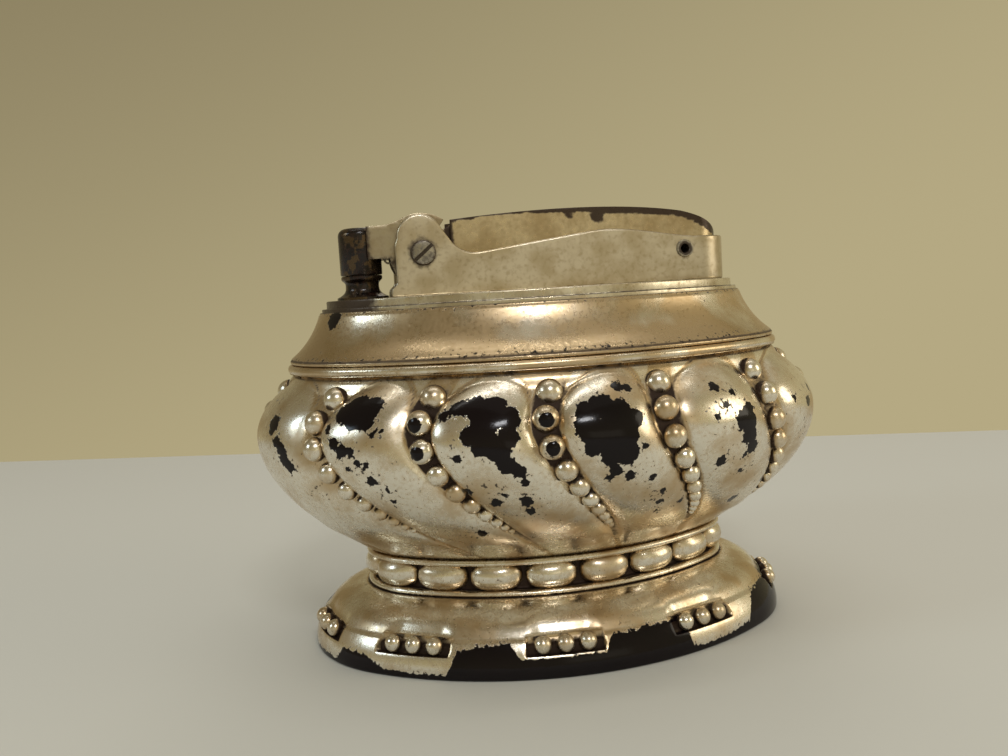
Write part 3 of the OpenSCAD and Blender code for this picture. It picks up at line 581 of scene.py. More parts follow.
def bead_size(i):
    """Diameter of a bead of a row; the beads shrink faster towards the row's end."""
    s = bpy.context.scene.lighter_sizes
    return s.row_bead + (s.row_bead_end - s.row_bead) * (i / (ROW_BEADS - 1)) ** 1.35


def channel_depth(t):
    """Depth of a channel under the lobes' tops; it runs out above the neck."""
    return bpy.context.scene.lighter_sizes.lobe_height * (1 - 0.75 * smooth((t - 0.84) / 0.16))


def row_point(share, t, out=0.0):
    """Point on the floor of a row's channel."""
    half, z = bowl_side(t)
    return round_point(share + swing(z), half + out - channel_depth(t), z)


def bead_places(share):
    """Places down the bowl of the beads of one row, which all but touch."""
    t, small_step, spacing = 0.12, 0.01, 1.07
    places = [t]
    for i in range(1, ROW_BEADS):
        way = (row_point(share, t + small_step) - row_point(share, t)).length
        t += small_step * spacing * (bead_size(i) + bead_size(i - 1)) / 2 / way
        places.append(t)
    return places


def channel(t):
    """Half width of the channel that a row of beads lies in; it closes towards the neck."""
    narrow, more = 0.2 * MM, 1.75 * MM
    return narrow + more * (1 - smooth((t - 0.2) / 0.75))


def arch_at(across, t, width):
    """Place on a lobe between its ridge (0) and its outline (1); more is off the lobe."""
    left, right = 0.85 * channel(t) / width, 1.1 * channel(t) / width
    aside = abs(2 * (across - left) / (1 - left - right) - 1)
    arch_height = 0.34 * LOBE_WIDTH
    from_top = (LOBE_TOP_Z - bowl_side(t)[1]) / arch_height
    return math.hypot(aside, 1 - from_top) if from_top < 1 else aside


def swell(arch, across, t):
    """Height of a lobe over its channel: steep on its left, gentler on its right."""
    s = bpy.context.scene.lighter_sizes
    # The channels close to a plain brow under the rim, and the lobes run out above the neck
    brow = 0.6 * s.lobe_height * (1 - smooth((t - 0.02) / 0.09))
    if arch >= 1:
        return brow
    run_out = 4 * MM
    fade = min(1.0, max(0.0, (bowl_side(t)[1] - BOWL_Z) / run_out))
    gentle = smooth(across)
    lobe = s.lobe_height * fade * (1 - arch ** (3 - 0.8 * gentle)) ** (0.5 + 0.2 * gentle)
    return max(brow, lobe)


# Where the plate has gone from a lobe: across it, down it, and the gap's radius in millimetres
WORN = {
    11: (
        (0.66, 0.23, 1.2), (0.66, 0.26, 0.7), (0.72, 0.31, 0.8), (0.75, 0.34, 0.9),
        (0.74, 0.38, 0.9), (0.76, 0.41, 0.8),
    ),
    12: (
        (0.32, 0.17, 1.6), (0.40, 0.14, 1.8), (0.52, 0.14, 1.6), (0.54, 0.20, 1.4),
        (0.44, 0.21, 1.0), (0.22, 0.24, 0.5), (0.31, 0.30, 0.8), (0.37, 0.33, 0.9),
        (0.45, 0.33, 0.7), (0.66, 0.26, 0.3), (0.72, 0.25, 0.4), (0.46, 0.37, 0.5),
        (0.52, 0.38, 0.5), (0.34, 0.39, 0.4), (0.46, 0.44, 0.7), (0.50, 0.48, 0.4),
        (0.42, 0.53, 0.4), (0.72, 0.71, 0.7),
    ),
    13: (
        (0.20, 0.19, 0.7), (0.27, 0.17, 0.9), (0.34, 0.16, 1.2), (0.44, 0.16, 1.7),
        (0.58, 0.17, 1.9), (0.70, 0.21, 1.7), (0.53, 0.24, 1.8), (0.42, 0.28, 1.1),
        (0.50, 0.31, 1.4), (0.61, 0.33, 1.7), (0.71, 0.29, 1.4), (0.60, 0.39, 1.1),
        (0.65, 0.42, 0.8), (0.63, 0.46, 0.6), (0.28, 0.36, 0.5), (0.12, 0.49, 0.6),
        (0.26, 0.54, 0.7), (0.50, 0.54, 0.8), (0.44, 0.59, 0.6), (0.38, 0.51, 0.4),
    ),
    0: (
        (0.30, 0.20, 1.3), (0.28, 0.27, 1.2), (0.42, 0.19, 1.8), (0.56, 0.22, 1.8),
        (0.67, 0.25, 1.3), (0.34, 0.29, 1.8), (0.48, 0.30, 2.1), (0.58, 0.31, 1.7),
        (0.28, 0.35, 1.1), (0.39, 0.38, 1.5), (0.51, 0.38, 1.6), (0.35, 0.44, 0.9),
        (0.43, 0.47, 0.8), (0.27, 0.47, 0.5), (0.56, 0.11, 0.8), (0.65, 0.12, 0.7),
        (0.68, 0.36, 0.4), (0.60, 0.49, 0.6), (0.62, 0.56, 0.5), (0.55, 0.61, 0.5),
        (0.48, 0.66, 0.4), (0.78, 0.63, 0.4),
    ),
    1: (
        (0.64, 0.28, 1.1), (0.55, 0.32, 1.2), (0.62, 0.33, 1.4), (0.57, 0.38, 1.4),
        (0.56, 0.43, 1.0), (0.47, 0.46, 0.5), (0.40, 0.16, 0.8), (0.54, 0.19, 0.5),
        (0.44, 0.24, 0.5), (0.34, 0.29, 0.4), (0.24, 0.47, 0.8), (0.40, 0.53, 0.4),
        (0.80, 0.62, 0.7), (0.38, 0.70, 0.8),
    ),
    2: (
        (0.52, 0.25, 0.6), (0.40, 0.31, 0.8), (0.22, 0.27, 0.4),
    ),
}
# Where it is only specked, in the same way
SPECKED = {
    11: ((0.8, 0.5, 3.0), (0.5, 0.14, 2.0)),
    12: ((0.46, 0.40, 2.6), (0.46, 0.50, 2.4), (0.66, 0.7, 2.4), (0.2, 0.2, 1.6)),
    13: ((0.36, 0.48, 2.8), (0.56, 0.56, 2.4), (0.3, 0.32, 1.6), (0.3, 0.12, 1.6)),
    0: ((0.6, 0.44, 2.4), (0.5, 0.58, 2.8), (0.7, 0.62, 2.0)),
    1: ((0.34, 0.28, 3.4), (0.30, 0.46, 3.2), (0.5, 0.52, 2.6), (0.4, 0.68, 2.4)),
    2: ((0.4, 0.26, 3.2), (0.3, 0.42, 3.0)),
}
# Rows whose channels are painted paler than the others
PALER_CHANNEL_ROWS = {2: 0.65, 5: 0.45, 9: 0.65, 12: 0.45}
# The beads that have lost the plate on their tops: row and place in it
WORN_BEADS = {(13, 1), (13, 2), (0, 1), (0, 2), (6, 1), (7, 2), (9, 1)}


def lobe_width(k, shares, half):
    """Width of a lobe where the bowl has a given half length."""
    return (shares[k + 1] - shares[k]) * 2 * sum(oval_lengths(half))


def on_lobe(k, across, down, shares):
    """Point of a lobe's surface."""
    half, z = bowl_side(down)
    share = shares[k] * (1 - across) + shares[k + 1] * across
    arch = arch_at(across, down, lobe_width(k, shares, half))
    half += swell(arch, across, down) - channel_depth(down)
    return round_point(share + swing(z), half, z)


def marks_on(k, table, shares):
    """Marks of a lobe as points with radii; the back carries the front's marks, smaller."""
    opposite = (k + LOBES // 2) % LOBES
    found, size = (table[k], 1) if k in table else (table.get(opposite, ()), 0.75)
    return [(on_lobe(k, across, down, shares), r * size * MM) for across, down, r in found]


def gap_in_plate(point, marks, soft=0.9 * MM):
    """How bare a point is: a half on the edge of a gap, more inside it."""
    deepest = max((r - (point - at).length for at, r in marks), default=-soft)
    return min(1.0, max(0.0, 0.5 + deepest / (2 * soft)))


def specks_near(point, marks):
    """How specked a point is: too little to bare it, enough for pits."""
    return 0.3 * max((smooth(1.4 - 1.4 * (point - at).length / r) for at, r in marks), default=0)


class LIGHTER_OT_bowl(bpy.types.Operator):
    """Models the gadrooned bowl"""

    bl_idname = "lighter.bowl"
    bl_label = "Bowl"

    def execute(self, context):
        s = context.scene.lighter_sizes
        cells, side_rows = 42, 96
        wall = 1 * MM
        inner = s.neck_half - NECK_DEPTH
        shares = [row_share(k) for k in range(LOBES)] + [row_share(0) + 1]
        roll = 0.65 * MM
        rim = [
            (s.rim_half, LOBE_TOP_Z + 0.12 * MM),
            *arc((s.rim_half - 0.45 * MM, RIM_Z - 0.7 * MM), roll, -50, 90, 8),
            (s.rim_half - 2 * wall, RIM_Z),
        ]
        # Places down the bowl of the rows of corners on its inside
        inside = [0.13, 0.33, 0.55, 0.78]
        rows = 1 + side_rows + 1 + len(rim) + len(inside) + 1
        gaps = [marks_on(k, WORN, shares) for k in range(LOBES)]
        specks = [marks_on(k, SPECKED, shares) for k in range(LOBES)]

        def place(share, row):
            lobe, cell = divmod(share * LOBES, 1)
            lobe = min(int(lobe), LOBES - 1) if share < 1 else LOBES - 1
            cell = share * LOBES - lobe
            base = shares[lobe] * (1 - cell) + shares[lobe + 1] * cell
            if row == 0 or row == rows - 1:
                return round_point(base + swing(BOWL_Z), inner, BOWL_Z), 0.5, 0
            row -= 1
            if row <= side_rows:
                t = 1 - row / side_rows
                half, z = bowl_side(t)
                width = lobe_width(lobe, shares, half)
                arch = arch_at(cell, t, width)
                height = swell(arch, cell, t)
                channel_strength = PALER_CHANNEL_ROWS.get((lobe + round(cell)) % LOBES, 1)
                # The bowl darkens with tarnish and painted shade in its channels, over the lobes' arches and under
                # the rim
                dirt = self.dirt(t, arch, min(cell, 1 - cell) * width, channel_strength)
                half += height - channel_depth(t)
                point = round_point(base + swing(z), half, z)
                gone = max(gap_in_plate(point, gaps[lobe]), specks_near(point, specks[lobe]))
                return point, dirt, gone
            row -= side_rows + 1
            if row < len(rim):
                half, z = rim[row]
                dirt = 0.8 if row in (0, len(rim) - 1) else 0.1
                return round_point(base + swing(LOBE_TOP_Z), half, z), dirt, 0
            t = inside[row - len(rim)]
            half, z = bowl_side(t)
            half -= s.lobe_height + 1.4 * wall
            z += t * wall
            return round_point(base + swing(z), half, z), 0.5, 0

        bowl = grid_skin(rows, LOBES * cells, place)
        close_edit(bowl)
        finish_piece(bowl, "bowl_shell", 60)
        give(bowl, worn_silver(), "base", "silver_plate", "bowl")
        return {"FINISHED"}

    def dirt(self, t, arch, from_row, channel_strength):
        """Tarnish and painted shade in a channel, weaker in the paler rows; a painted shade line over each lobe's
        arch, and painted shade under the rim.
        """
        channel_tarnish_and_shade = 0.85 * (1 - smooth((from_row - channel(t) * 0.85) / (0.5 * MM)))
        channel_tarnish_and_shade *= 0.35 + 0.65 * smooth((0.95 - t) / 0.4)
        channel_tarnish_and_shade *= (0.35 + 0.65 * smooth((t - 0.04) / 0.1)) * channel_strength
        painted_shade_over_lobe = 0.6 * smooth(1 - abs(arch - 1.03) / 0.07) * (1 - smooth((t - 0.14) / 0.1))
        painted_shade_under_rim = 0.3 * (1 - smooth(t / 0.02))
        return max(channel_tarnish_and_shade, painted_shade_over_lobe, painted_shade_under_rim)


class LIGHTER_OT_bowl_beads(bpy.types.Operator):
    """Sets the graded rows of beads in the bowl's channels"""

    bl_idname = "lighter.bowl_beads"
    bl_label = "Bowl Beads"

    def execute(self, context):
        start_piece()
        beads = []
        for k in range(LOBES):
            share = row_share(k)
            for i, t in enumerate(bead_places(share)):
                if t > 0.94:
                    continue
                # The first bead lies deeper, in the head of the channel
                out = (-0.4 if i == 0 else 0.05) * MM
                place = row_point(share, t, out)
                outward = (row_point(share, t, out + 1 * MM) - place).normalized()
                beads.append((place, bead_size(i), outward, (k, i) in WORN_BEADS))
        piece = strewn_beads(beads)
        finish_piece(piece, "bowl_beads", 60)
        give(piece, worn_silver(), "base", "silver_plate")
        return {"FINISHED"}


BEAD_RADIUS = 0.5 * MM


def one_bead(sides):
    """A bead of one millimetre across, whose pole is its top."""
    start_piece()
    bpy.ops.mesh.primitive_uv_sphere_add(segments=sides, ring_count=sides // 2, radius=BEAD_RADIUS)
    return bpy.context.object


def join_pieces(pieces):
    """Joins pieces into one."""
    start_piece()
    for piece in pieces:
        piece.select_set(True)
    bpy.context.view_layer.objects.active = pieces[0]
    bpy.ops.object.join()
    return bpy.context.object


def strewn_beads(beads):
    """Copies one bead to each place at its size, turned outwards, darkened at its foot with crud and painted
    shade.
    """
    small, middling, large = 14, 20, 28
    patterns = {sides: one_bead(sides) for sides in (small, middling, large)}
    made = []
    for place, size, outward, worn in beads:
        sides = large if size > 2.5 * MM else middling if size > 1.6 * MM else small
        bead = patterns[sides].copy()
        bead.data = patterns[sides].data.copy()
        bpy.context.scene.collection.objects.link(bead)
        # Painted shade with crud darkens each bead towards its foot
        wear(bead, "grime_and_shade", lambda p: 0.9 * smooth((0.35 - p.z / BEAD_RADIUS) / 0.5))
        wear(bead, "bare", lambda p: smooth((p.z / BEAD_RADIUS - 0.64) / 0.36) if worn else 0)
        turn = outward.to_track_quat("Z", "Y").to_matrix().to_4x4()
        bead.data.transform(Matrix.Translation(place) @ turn @ Matrix.Scale(size / MM, 4))
        made.append(bead)
    for pattern in patterns.values():
        bpy.data.objects.remove(pattern)
    return join_pieces(made)


class LIGHTER_OT_foot(bpy.types.Operator):
    """Models the domed foot with its recesses and small beads"""

    bl_idname = "lighter.foot"
    bl_label = "Foot"

    recesses = 9
    phase = 0.016
    # How far each recess has drifted from even spacing, in millimetres
    drift = (0, 0, 3, 2.4, 1.8, 1.8, 2.4, 3, 0)
    ledge_z = 2.9 * MM
    # How high the plate has gone from the foot's rim, along X, in millimetres
    bare_line = (
        (-36, 0.7), (-32.3, 0.9), (-31.4, 2.6), (-28.6, 2.4), (-26, 0.9), (-18.4, 0.7),
        (-16.8, 3.6), (-13, 4.4), (-10, 4.5), (-9, 2.7), (2.2, 2.7), (3.4, 4.5), (8, 4.6),
        (13.6, 4.7), (14.8, 1.2), (18, 0.8), (25, 1.4), (26.6, 4.6), (32, 5.2), (36, 3.6),
    )

    def execute(self, context):
        s = context.scene.lighter_sizes
        give(self.shell(s), worn_silver(), "base", "silver_plate", "foot")
        give(self.beads(s), worn_silver(), "base", "silver_plate")
        return {"FINISHED"}

    def recess_share(self, i):
        """Place of a recess round the foot; those at the ends have drifted from even spacing."""
        around = 2 * sum(oval_lengths(bpy.context.scene.lighter_sizes.foot_half))
        return i / self.recesses - self.phase + self.drift[i] * MM / around

    def shoulder(self, z):
        """How far the dome keeps back above the blocks between the recesses."""
        rise = smooth((z - 4.55 * MM) / (0.22 * MM))
        return 0.28 * MM * rise * (1 - smooth((z - 4.8 * MM) / (1.6 * MM)))

    def worn_rim(self, point):
        """How bare the rim is: the back is worn as the front is, turned about the middle."""
        x = point.x / MM if point.y < 0 else -point.x / MM
        height = along_line(self.bare_line, x) * MM
        soft = 1.4 * MM
        return min(1.0, max(0.0, 0.5 + (height - point.z) / soft))

    def shell(self, s):
        """The dome, whose wall steps in at each recess."""
        edge = 0.7 * MM
        wall = 1.2 * MM
        floor = s.foot_half - s.recess_depth
        dome = (
            (s.foot_half, edge),
            (s.foot_half, NECK_Z / 2),
            (s.neck_half + 0.53 * (s.foot_half - s.neck_half), NECK_Z),
            (s.neck_half, NECK_Z),
        )
        # Rows of corners on a recess's ledge, up its wall, and from there to the neck
        ledge_rows, wall_rows, crown_rows = 6, 8, 16
        beside_rows = ledge_rows + wall_rows
        fine = cubic(dome, 200)
        below = [p for p in fine if p[1] <= self.ledge_z]
        beside = [p for p in fine if p[1] > self.ledge_z and p[0] >= floor]
        above = [p for p in fine if p[1] > self.ledge_z and p[0] < floor]
        foot_rows = [(s.foot_half - wall, 0.0), (s.foot_half - edge / 2, 0.0)]
        foot_rows += arc((s.foot_half - edge / 2, edge / 2), edge / 2, -70, 0, 4)
        foot_rows += below[:: max(1, len(below) // 6)] + [below[-1]]
        outer = evenly(beside, beside_rows)
        ledge_edge = 0.18 * MM
        corner = 0.12 * MM
        half = below[-1][0]
        ledge = self.ledge_z + 0.02 * MM
        stepped = [
            (half - 0.3 * ledge_edge, self.ledge_z + 0.01 * MM),
            (half - ledge_edge, ledge),
            (half - 0.4 * (half - floor), ledge),
            (floor + corner, ledge),
            (floor + 0.3 * corner, self.ledge_z + 0.3 * corner),
            (floor, self.ledge_z + corner),
        ]
        crown = beside[-1][1]
        rise = crown - self.ledge_z - corner
        for i in range(1, wall_rows + 1):
            stepped.append((floor, self.ledge_z + corner + rise * i / wall_rows))
        top_rows = evenly(above, crown_rows)
        inner_rows = [
            (s.neck_half - NECK_DEPTH, NECK_Z),
            (s.neck_half - NECK_DEPTH, NECK_Z - wall),
            (s.neck_half - wall, NECK_Z - wall),
            (s.foot_half - 4 * wall, NECK_Z - 2.2 * wall),
            (s.foot_half - 1.2 * wall, 4 * MM),
            (s.foot_half - wall, 2.6 * MM),
        ]
        plain = foot_rows + outer + top_rows + inner_rows + foot_rows[:1]
        cut = foot_rows + stepped + top_rows + inner_rows + foot_rows[:1]
        first = len(foot_rows)
        last = first + len(stepped)
        outside_end = last + crown_rows
        around = 2 * sum(oval_lengths(s.foot_half))
        half_length = s.recess_length / 2
        shares = [self.recess_share(i) for i in range(self.recesses)]
        middles = [(share + turn) * around for share in shares for turn in (0, 1)]

        def place(share, row):
            gap = min(abs(share * around - middle) for middle in middles)
            inside = smooth((half_length + 0.12 * MM - gap) / (0.24 * MM))
            half, z = plain[row]
            cut_half, cut_z = cut[row]
            if first <= row < outside_end:
                half -= self.shoulder(z)
            if last <= row < outside_end:
                cut_half -= self.shoulder(cut_z)
            half += (cut_half - half) * inside
            z += (cut_z - z) * inside
            if last - wall_rows <= row < outside_end:
                # The recess's top edge rolls over softly
                roll = smooth((z - crown + 1.1 * MM) / (1.1 * MM))
                roll *= 1 - smooth((z - crown) / (2.6 * MM))
                half -= 0.5 * MM * roll * smooth((half_length + 0.1 * MM - gap) / (2.4 * MM))
            if row < 3:
                dirt = 0.9
            elif row < first:
                dirt = 0.0
            elif row < last:
                # Painted shade with crud darkens each recess's ledge and wall, and a line along its ends
                dirt = inside * (0.85 if row < last - 5 else 0.15 * (last - row))
                dirt = max(dirt, smooth(1 - abs(gap - half_length) / (0.4 * MM)) * 0.5)
            else:
                dirt = 0.05 if row < outside_end - 1 else 0.8
            point = round_point(share, half, z)
            return point, dirt, self.worn_rim(point) if row < outside_end else 0

        shell = grid_skin(len(plain), self.recesses * 90, place)
        close_edit(shell)
        return finish_piece(shell, "foot_shell", 50)

    def beads(self, s):
        """Three small beads on the ledge of each recess."""
        half = s.foot_half - 1.3 * MM
        step = 2.95 * MM / (2 * sum(oval_lengths(half)))
        z = self.ledge_z + s.small_bead / 2
        beads = []
        for i in range(self.recesses):
            for side in (-1, 0, 1):
                share = self.recess_share(i) + side * step
                place = round_point(share, half, z)
                outward = (round_point(share, half + 1 * MM, z + 0.4 * MM) - place).normalized()
                beads.append((place, s.small_bead, outward, False))
        return finish_piece(strewn_beads(beads), "foot_beads", 60)


class LIGHTER_OT_neck(bpy.types.Operator):
    """Models the neck band and its oval beads"""

    bl_idname = "lighter.neck"
    bl_label = "Neck"

    def execute(self, context):
        s = context.scene.lighter_sizes
        lip = 0.375 * MM
        corner = 0.3 * MM
        inner = s.neck_half - NECK_DEPTH
        groove = s.neck_half - s.neck_groove
        profile = [(inner, NECK_Z)]
        profile += arc((s.neck_half - lip, NECK_Z + lip), lip, -90, 90, 8)
        profile += arc((groove + corner, NECK_Z + 2 * lip + corner), corner, -90, -180, 4)
        profile += arc((groove + corner, BOWL_Z - 2 * lip - corner), corner, 180, 90, 4)
        profile += arc((s.neck_half - lip, BOWL_Z - lip), lip, -90, 90, 8)
        profile += [(inner, BOWL_Z)]
        band = oval_sweep(profile)

        # The band darkens in its groove, tarnish with painted shade
        def dirt(p):
            return 1 - smooth((out_from(p, groove) - 0.5 * MM) / (1.0 * MM))

        complete(band, "neck_rings", 50, dirt)
        give(band, worn_silver(), "base", "silver_plate", "neck_band")
        ovals = self.ovals(s, groove)
        give(ovals, worn_silver(), "base", "silver_plate")
        return {"FINISHED"}

    def ovals(self, s, groove):
        """The row of oval beads: one blunt oval, copied and bent round the neck."""
        count, phase = 17, 0.33
        # The copies overlap a little at their ends
        stretch = 1.04
        height = BOWL_Z - NECK_Z - 1.0 * MM
        middle = (NECK_Z + BOWL_Z) / 2 + 0.08 * MM
        around = 2 * sum(oval_lengths(groove))
        start_piece()
        bpy.ops.mesh.primitive_uv_sphere_add(segments=36, ring_count=24, radius=0.5)
        pattern = bpy.context.object
        shape = [self.blunt(v.co) for v in pattern.data.vertices]
        made = []
        for i in range(count):
            oval = pattern.copy()
            oval.data = pattern.data.copy()
            bpy.context.scene.collection.objects.link(oval)
            corners = []
            for out, along, up in shape:
                share = (i - phase) / count + along * stretch * s.oval_length / around
                corners.extend(round_point(share, groove + out * height, middle + up * height))
            oval.data.vertices.foreach_set("co", corners)
            # Each oval darkens towards the groove, tarnish with painted shade
            write_wear(oval, "grime_and_shade", [0.8 * smooth((0.2 - out) / 0.2) for out, _, _ in shape])
            write_wear(oval, "bare", [0] * len(shape))
            made.append(oval)
        bpy.data.objects.remove(pattern)
        ovals = join_pieces(made)
        close_edit(ovals, 0.0001 * MM)
        return finish_piece(ovals, "neck_ovals", 60)

    def blunt(self, corner, power=2.7):
        """Pushes a ball's sides towards a box, as seen from outside: out, along and up."""
        out, up, along = corner
        reach = math.hypot(up, along)
        if reach < 1e-6:
            return out, along, up
        a, b = abs(along) / reach, abs(up) / reach
        push = 1 / (a**power + b**power) ** (1 / power)
        return out, along * push, up * push


def out_from(point, half):
    """How far a point lies outside the oval of a half length."""
    s = bpy.context.scene.lighter_sizes
    x, y = abs(point.x), abs(point.y)
    end_r = half - s.end_centre
    if math.atan2(y, x - s.end_centre) <= arc_half():
        return math.hypot(x - s.end_centre, y) - end_r
    return math.hypot(x, y + s.side_centre) - end_r - arc_gap()


class LIGHTER_OT_collar(bpy.types.Operator):
    """Models the hollow-swept collar"""

    bl_idname = "lighter.collar"
    bl_label = "Collar"

    def execute(self, context):
        s = context.scene.lighter_sizes
        foot_half = s.rim_half - 0.2 * MM
        a = Vector((foot_half, RIM_Z + 0.6 * MM))
        b = Vector((s.collar_top, PLATE_Z))
        along = (b - a).normalized()
        sag = math.sqrt(s.collar_sweep**2 - ((b - a).length / 2) ** 2)
        hollow = (a + b) / 2 + Vector((along.y, -along.x)) * sag
        angles = [math.degrees(math.atan2(p.y - hollow.y, p.x - hollow.x)) % 360 for p in (a, b)]
        sweep = arc(hollow, s.collar_sweep, angles[0], angles[1], 22)
        bead, edge = 0.3 * MM, 0.25 * MM
        profile = [(foot_half - bead, RIM_Z)]
        profile += arc((foot_half - bead, RIM_Z + bead), bead, -60, 60, 5)
        profile += sweep[1:-1]
        profile += arc((s.collar_top - edge, PLATE_Z - edge), edge, 0, 90, 4)
        # A ledge turned inwards carries the top plate
        ledge, ledge_half = 0.9 * MM, 28.5 * MM
        profile += [
            (ledge_half, PLATE_Z),
            (ledge_half, PLATE_Z - ledge),
            (s.collar_top - 1.8 * MM, PLATE_Z - ledge),
            (foot_half - 2.2 * MM, RIM_Z),
        ]
        collar = oval_sweep(profile, 60, 70)
        complete(collar, "collar_ring", 40, self.dirt, self.marks)
        give(collar, satin_silver(), "base", "collar_plate", "collar")
        return {"FINISHED"}

    def dirt(self, p):
        """Tarnish along the seams above and below the sweep, and painted shade that browns the sweep towards its
        foot.
        """
        low_seam = smooth(1 - abs(p.z - RIM_Z - 0.6 * MM) / (0.35 * MM))
        high_seam = 1 - smooth((PLATE_Z - p.z) / (0.3 * MM))
        # Painted shade: the sweep browns towards its foot
        hollow = 0.16 + 0.14 * smooth(1 - (p.z - RIM_Z - 1 * MM) / (3.5 * MM))
        return max(low_seam, 0.7 * high_seam, hollow)

    def marks(self, p):
        """Lost plate: a burn beside the wick, and specks along both seams."""
        burn = gap_in_plate(p, [(Vector((-29.6, -8.6, 47.3)) * MM, 1.5 * MM)])
        low_specks = 0.42 * smooth(1 - abs(p.z - RIM_Z - 0.9 * MM) / (0.7 * MM))
        high_specks = 0.34 * smooth(1 - abs(p.z - PLATE_Z + 0.2 * MM) / (0.8 * MM))
        return max(burn, low_specks, high_specks)


class LIGHTER_OT_top_plate(bpy.types.Operator):
    """Models the stepped top plate"""

    bl_idname = "lighter.top_plate"
    bl_label = "Top Plate"

    def execute(self, context):
        s = context.scene.lighter_sizes
        step_z = PLATE_Z + 0.5 * MM
        edge = s.collar_top - 0.4 * MM
        inner = s.end_centre + 1 * MM
        low_round, corner, high_round = 0.15 * MM, 0.1 * MM, 0.2 * MM
        profile = [
            (inner, PLATE_Z),
            (edge, PLATE_Z),
            *arc((edge - low_round, step_z - low_round), low_round, 0, 90, 3),
            (s.plate_half + corner, step_z),
            (s.plate_half, step_z + corner),
            *arc((s.plate_half - high_round, DECK_Z - high_round), high_round, 0, 90, 4),
            (inner, DECK_Z),
        ]
        plate = oval_sweep(profile)
        self.close_middle(plate, inner)
        scored(plate, 1.2 * MM)
        complete(plate, "deck_plate", 40, lambda p: self.dirt(p, step_z))
        side = in_mm(((AXIS_GAP, 0), (1.5, 0), (1.5, 1.1), (1.4, 1.2), (AXIS_GAP, 1.2)))
        boss = turned(side, (spring_middle(), 0, DECK_Z))
        complete(boss, "spring_boss")
        give(boss, satin_steel(), "base", "top_plate_metal")
        give(plate, deck_metal(), "base", "top_plate_metal", "top_plate")
        return {"FINISHED"}

    def dirt(self, p, step_z):
        """Dirt on the step, and soot round the burner's end."""
        seam = 0.75 * (1 - smooth(abs(p.z - step_z) / (0.2 * MM)))
        soot = smooth((WICK_X + 4 * MM - p.x) / (5 * MM))
        return max(seam, soot)

    def close_middle(self, plate, inner):
        """Removes the inner wall of the swept ring and fills the plate's two faces."""
        edit(plate)
        bpy.ops.mesh.select_mode(type="FACE")
        bpy.ops.mesh.select_all(action="DESELECT")
        bpy.ops.object.mode_set(mode="OBJECT")
        for face in plate.data.polygons:
            on_wall = abs(out_from(face.center, inner)) < 0.01 * MM
            face.select = on_wall and abs(face.normal.z) < 0.1
        bpy.ops.object.mode_set(mode="EDIT")
        bpy.ops.mesh.delete(type="FACE")
        bpy.ops.mesh.select_mode(type="VERT")
        bpy.ops.mesh.select_all(action="DESELECT")
        bpy.ops.mesh.select_non_manifold()
        bpy.ops.mesh.fill_holes(sides=0)
        bpy.ops.object.mode_set(mode="OBJECT")
        close_edit(plate)


# Mechanism: outlines in the side view
def stadium(half, front, steps=28):
    """Plan with a square front and a round rear end."""
    centre = (FRAME_REAR, 0)
    return [(front, half), (front, -half)] + arc(centre, half, -90, 90, steps)


def frame_outline():
    """Side view of the frame."""
    rear_top = DECK_Z + 6.5 * MM
    dip = (AXLE.x + 7.9 * MM, DECK_Z + 5.8 * MM)
    hip = (AXLE.x + 4.3 * MM, DECK_Z + 7.2 * MM)
    crest = (FRAME_REAR - 15.3 * MM, DECK_Z + 8.1 * MM)
    shoulder = (RIVET.x + 1.5 * MM, rear_top)
    end = FRAME_REAR + FRAME_HALF + 1 * MM
    head = (AXLE.x - 0.3 * MM, DECK_Z + 8.2 * MM)

    def moved(p, x, z):
        return (p[0] + x * MM, p[1] + z * MM)

    outline = [
        (FRONT_X - 0.9 * MM, DECK_Z),
        (FRONT_X - 0.8 * MM, DECK_Z + 1.2 * MM),
        (FRONT_X, DECK_Z + 1.9 * MM),
        (FRONT_X, DECK_Z + 7.3 * MM),
    ]
    outline += arc(head, 3.25 * MM, 180, 32, 22)
    outline += cubic((hip, moved(dip, -2.2, 0.2), moved(dip, -1.4, -0.1), dip), 8)
    outline += cubic((dip, moved(dip, 5, 0.6), moved(crest, -5, -0.5), crest), 14)[1:]
    outline += cubic((crest, moved(crest, 5, 0.2), moved(shoulder, -5, 0.5), shoulder), 10)[1:]
    outline += [(end, rear_top), (end, DECK_Z)]
    return outline


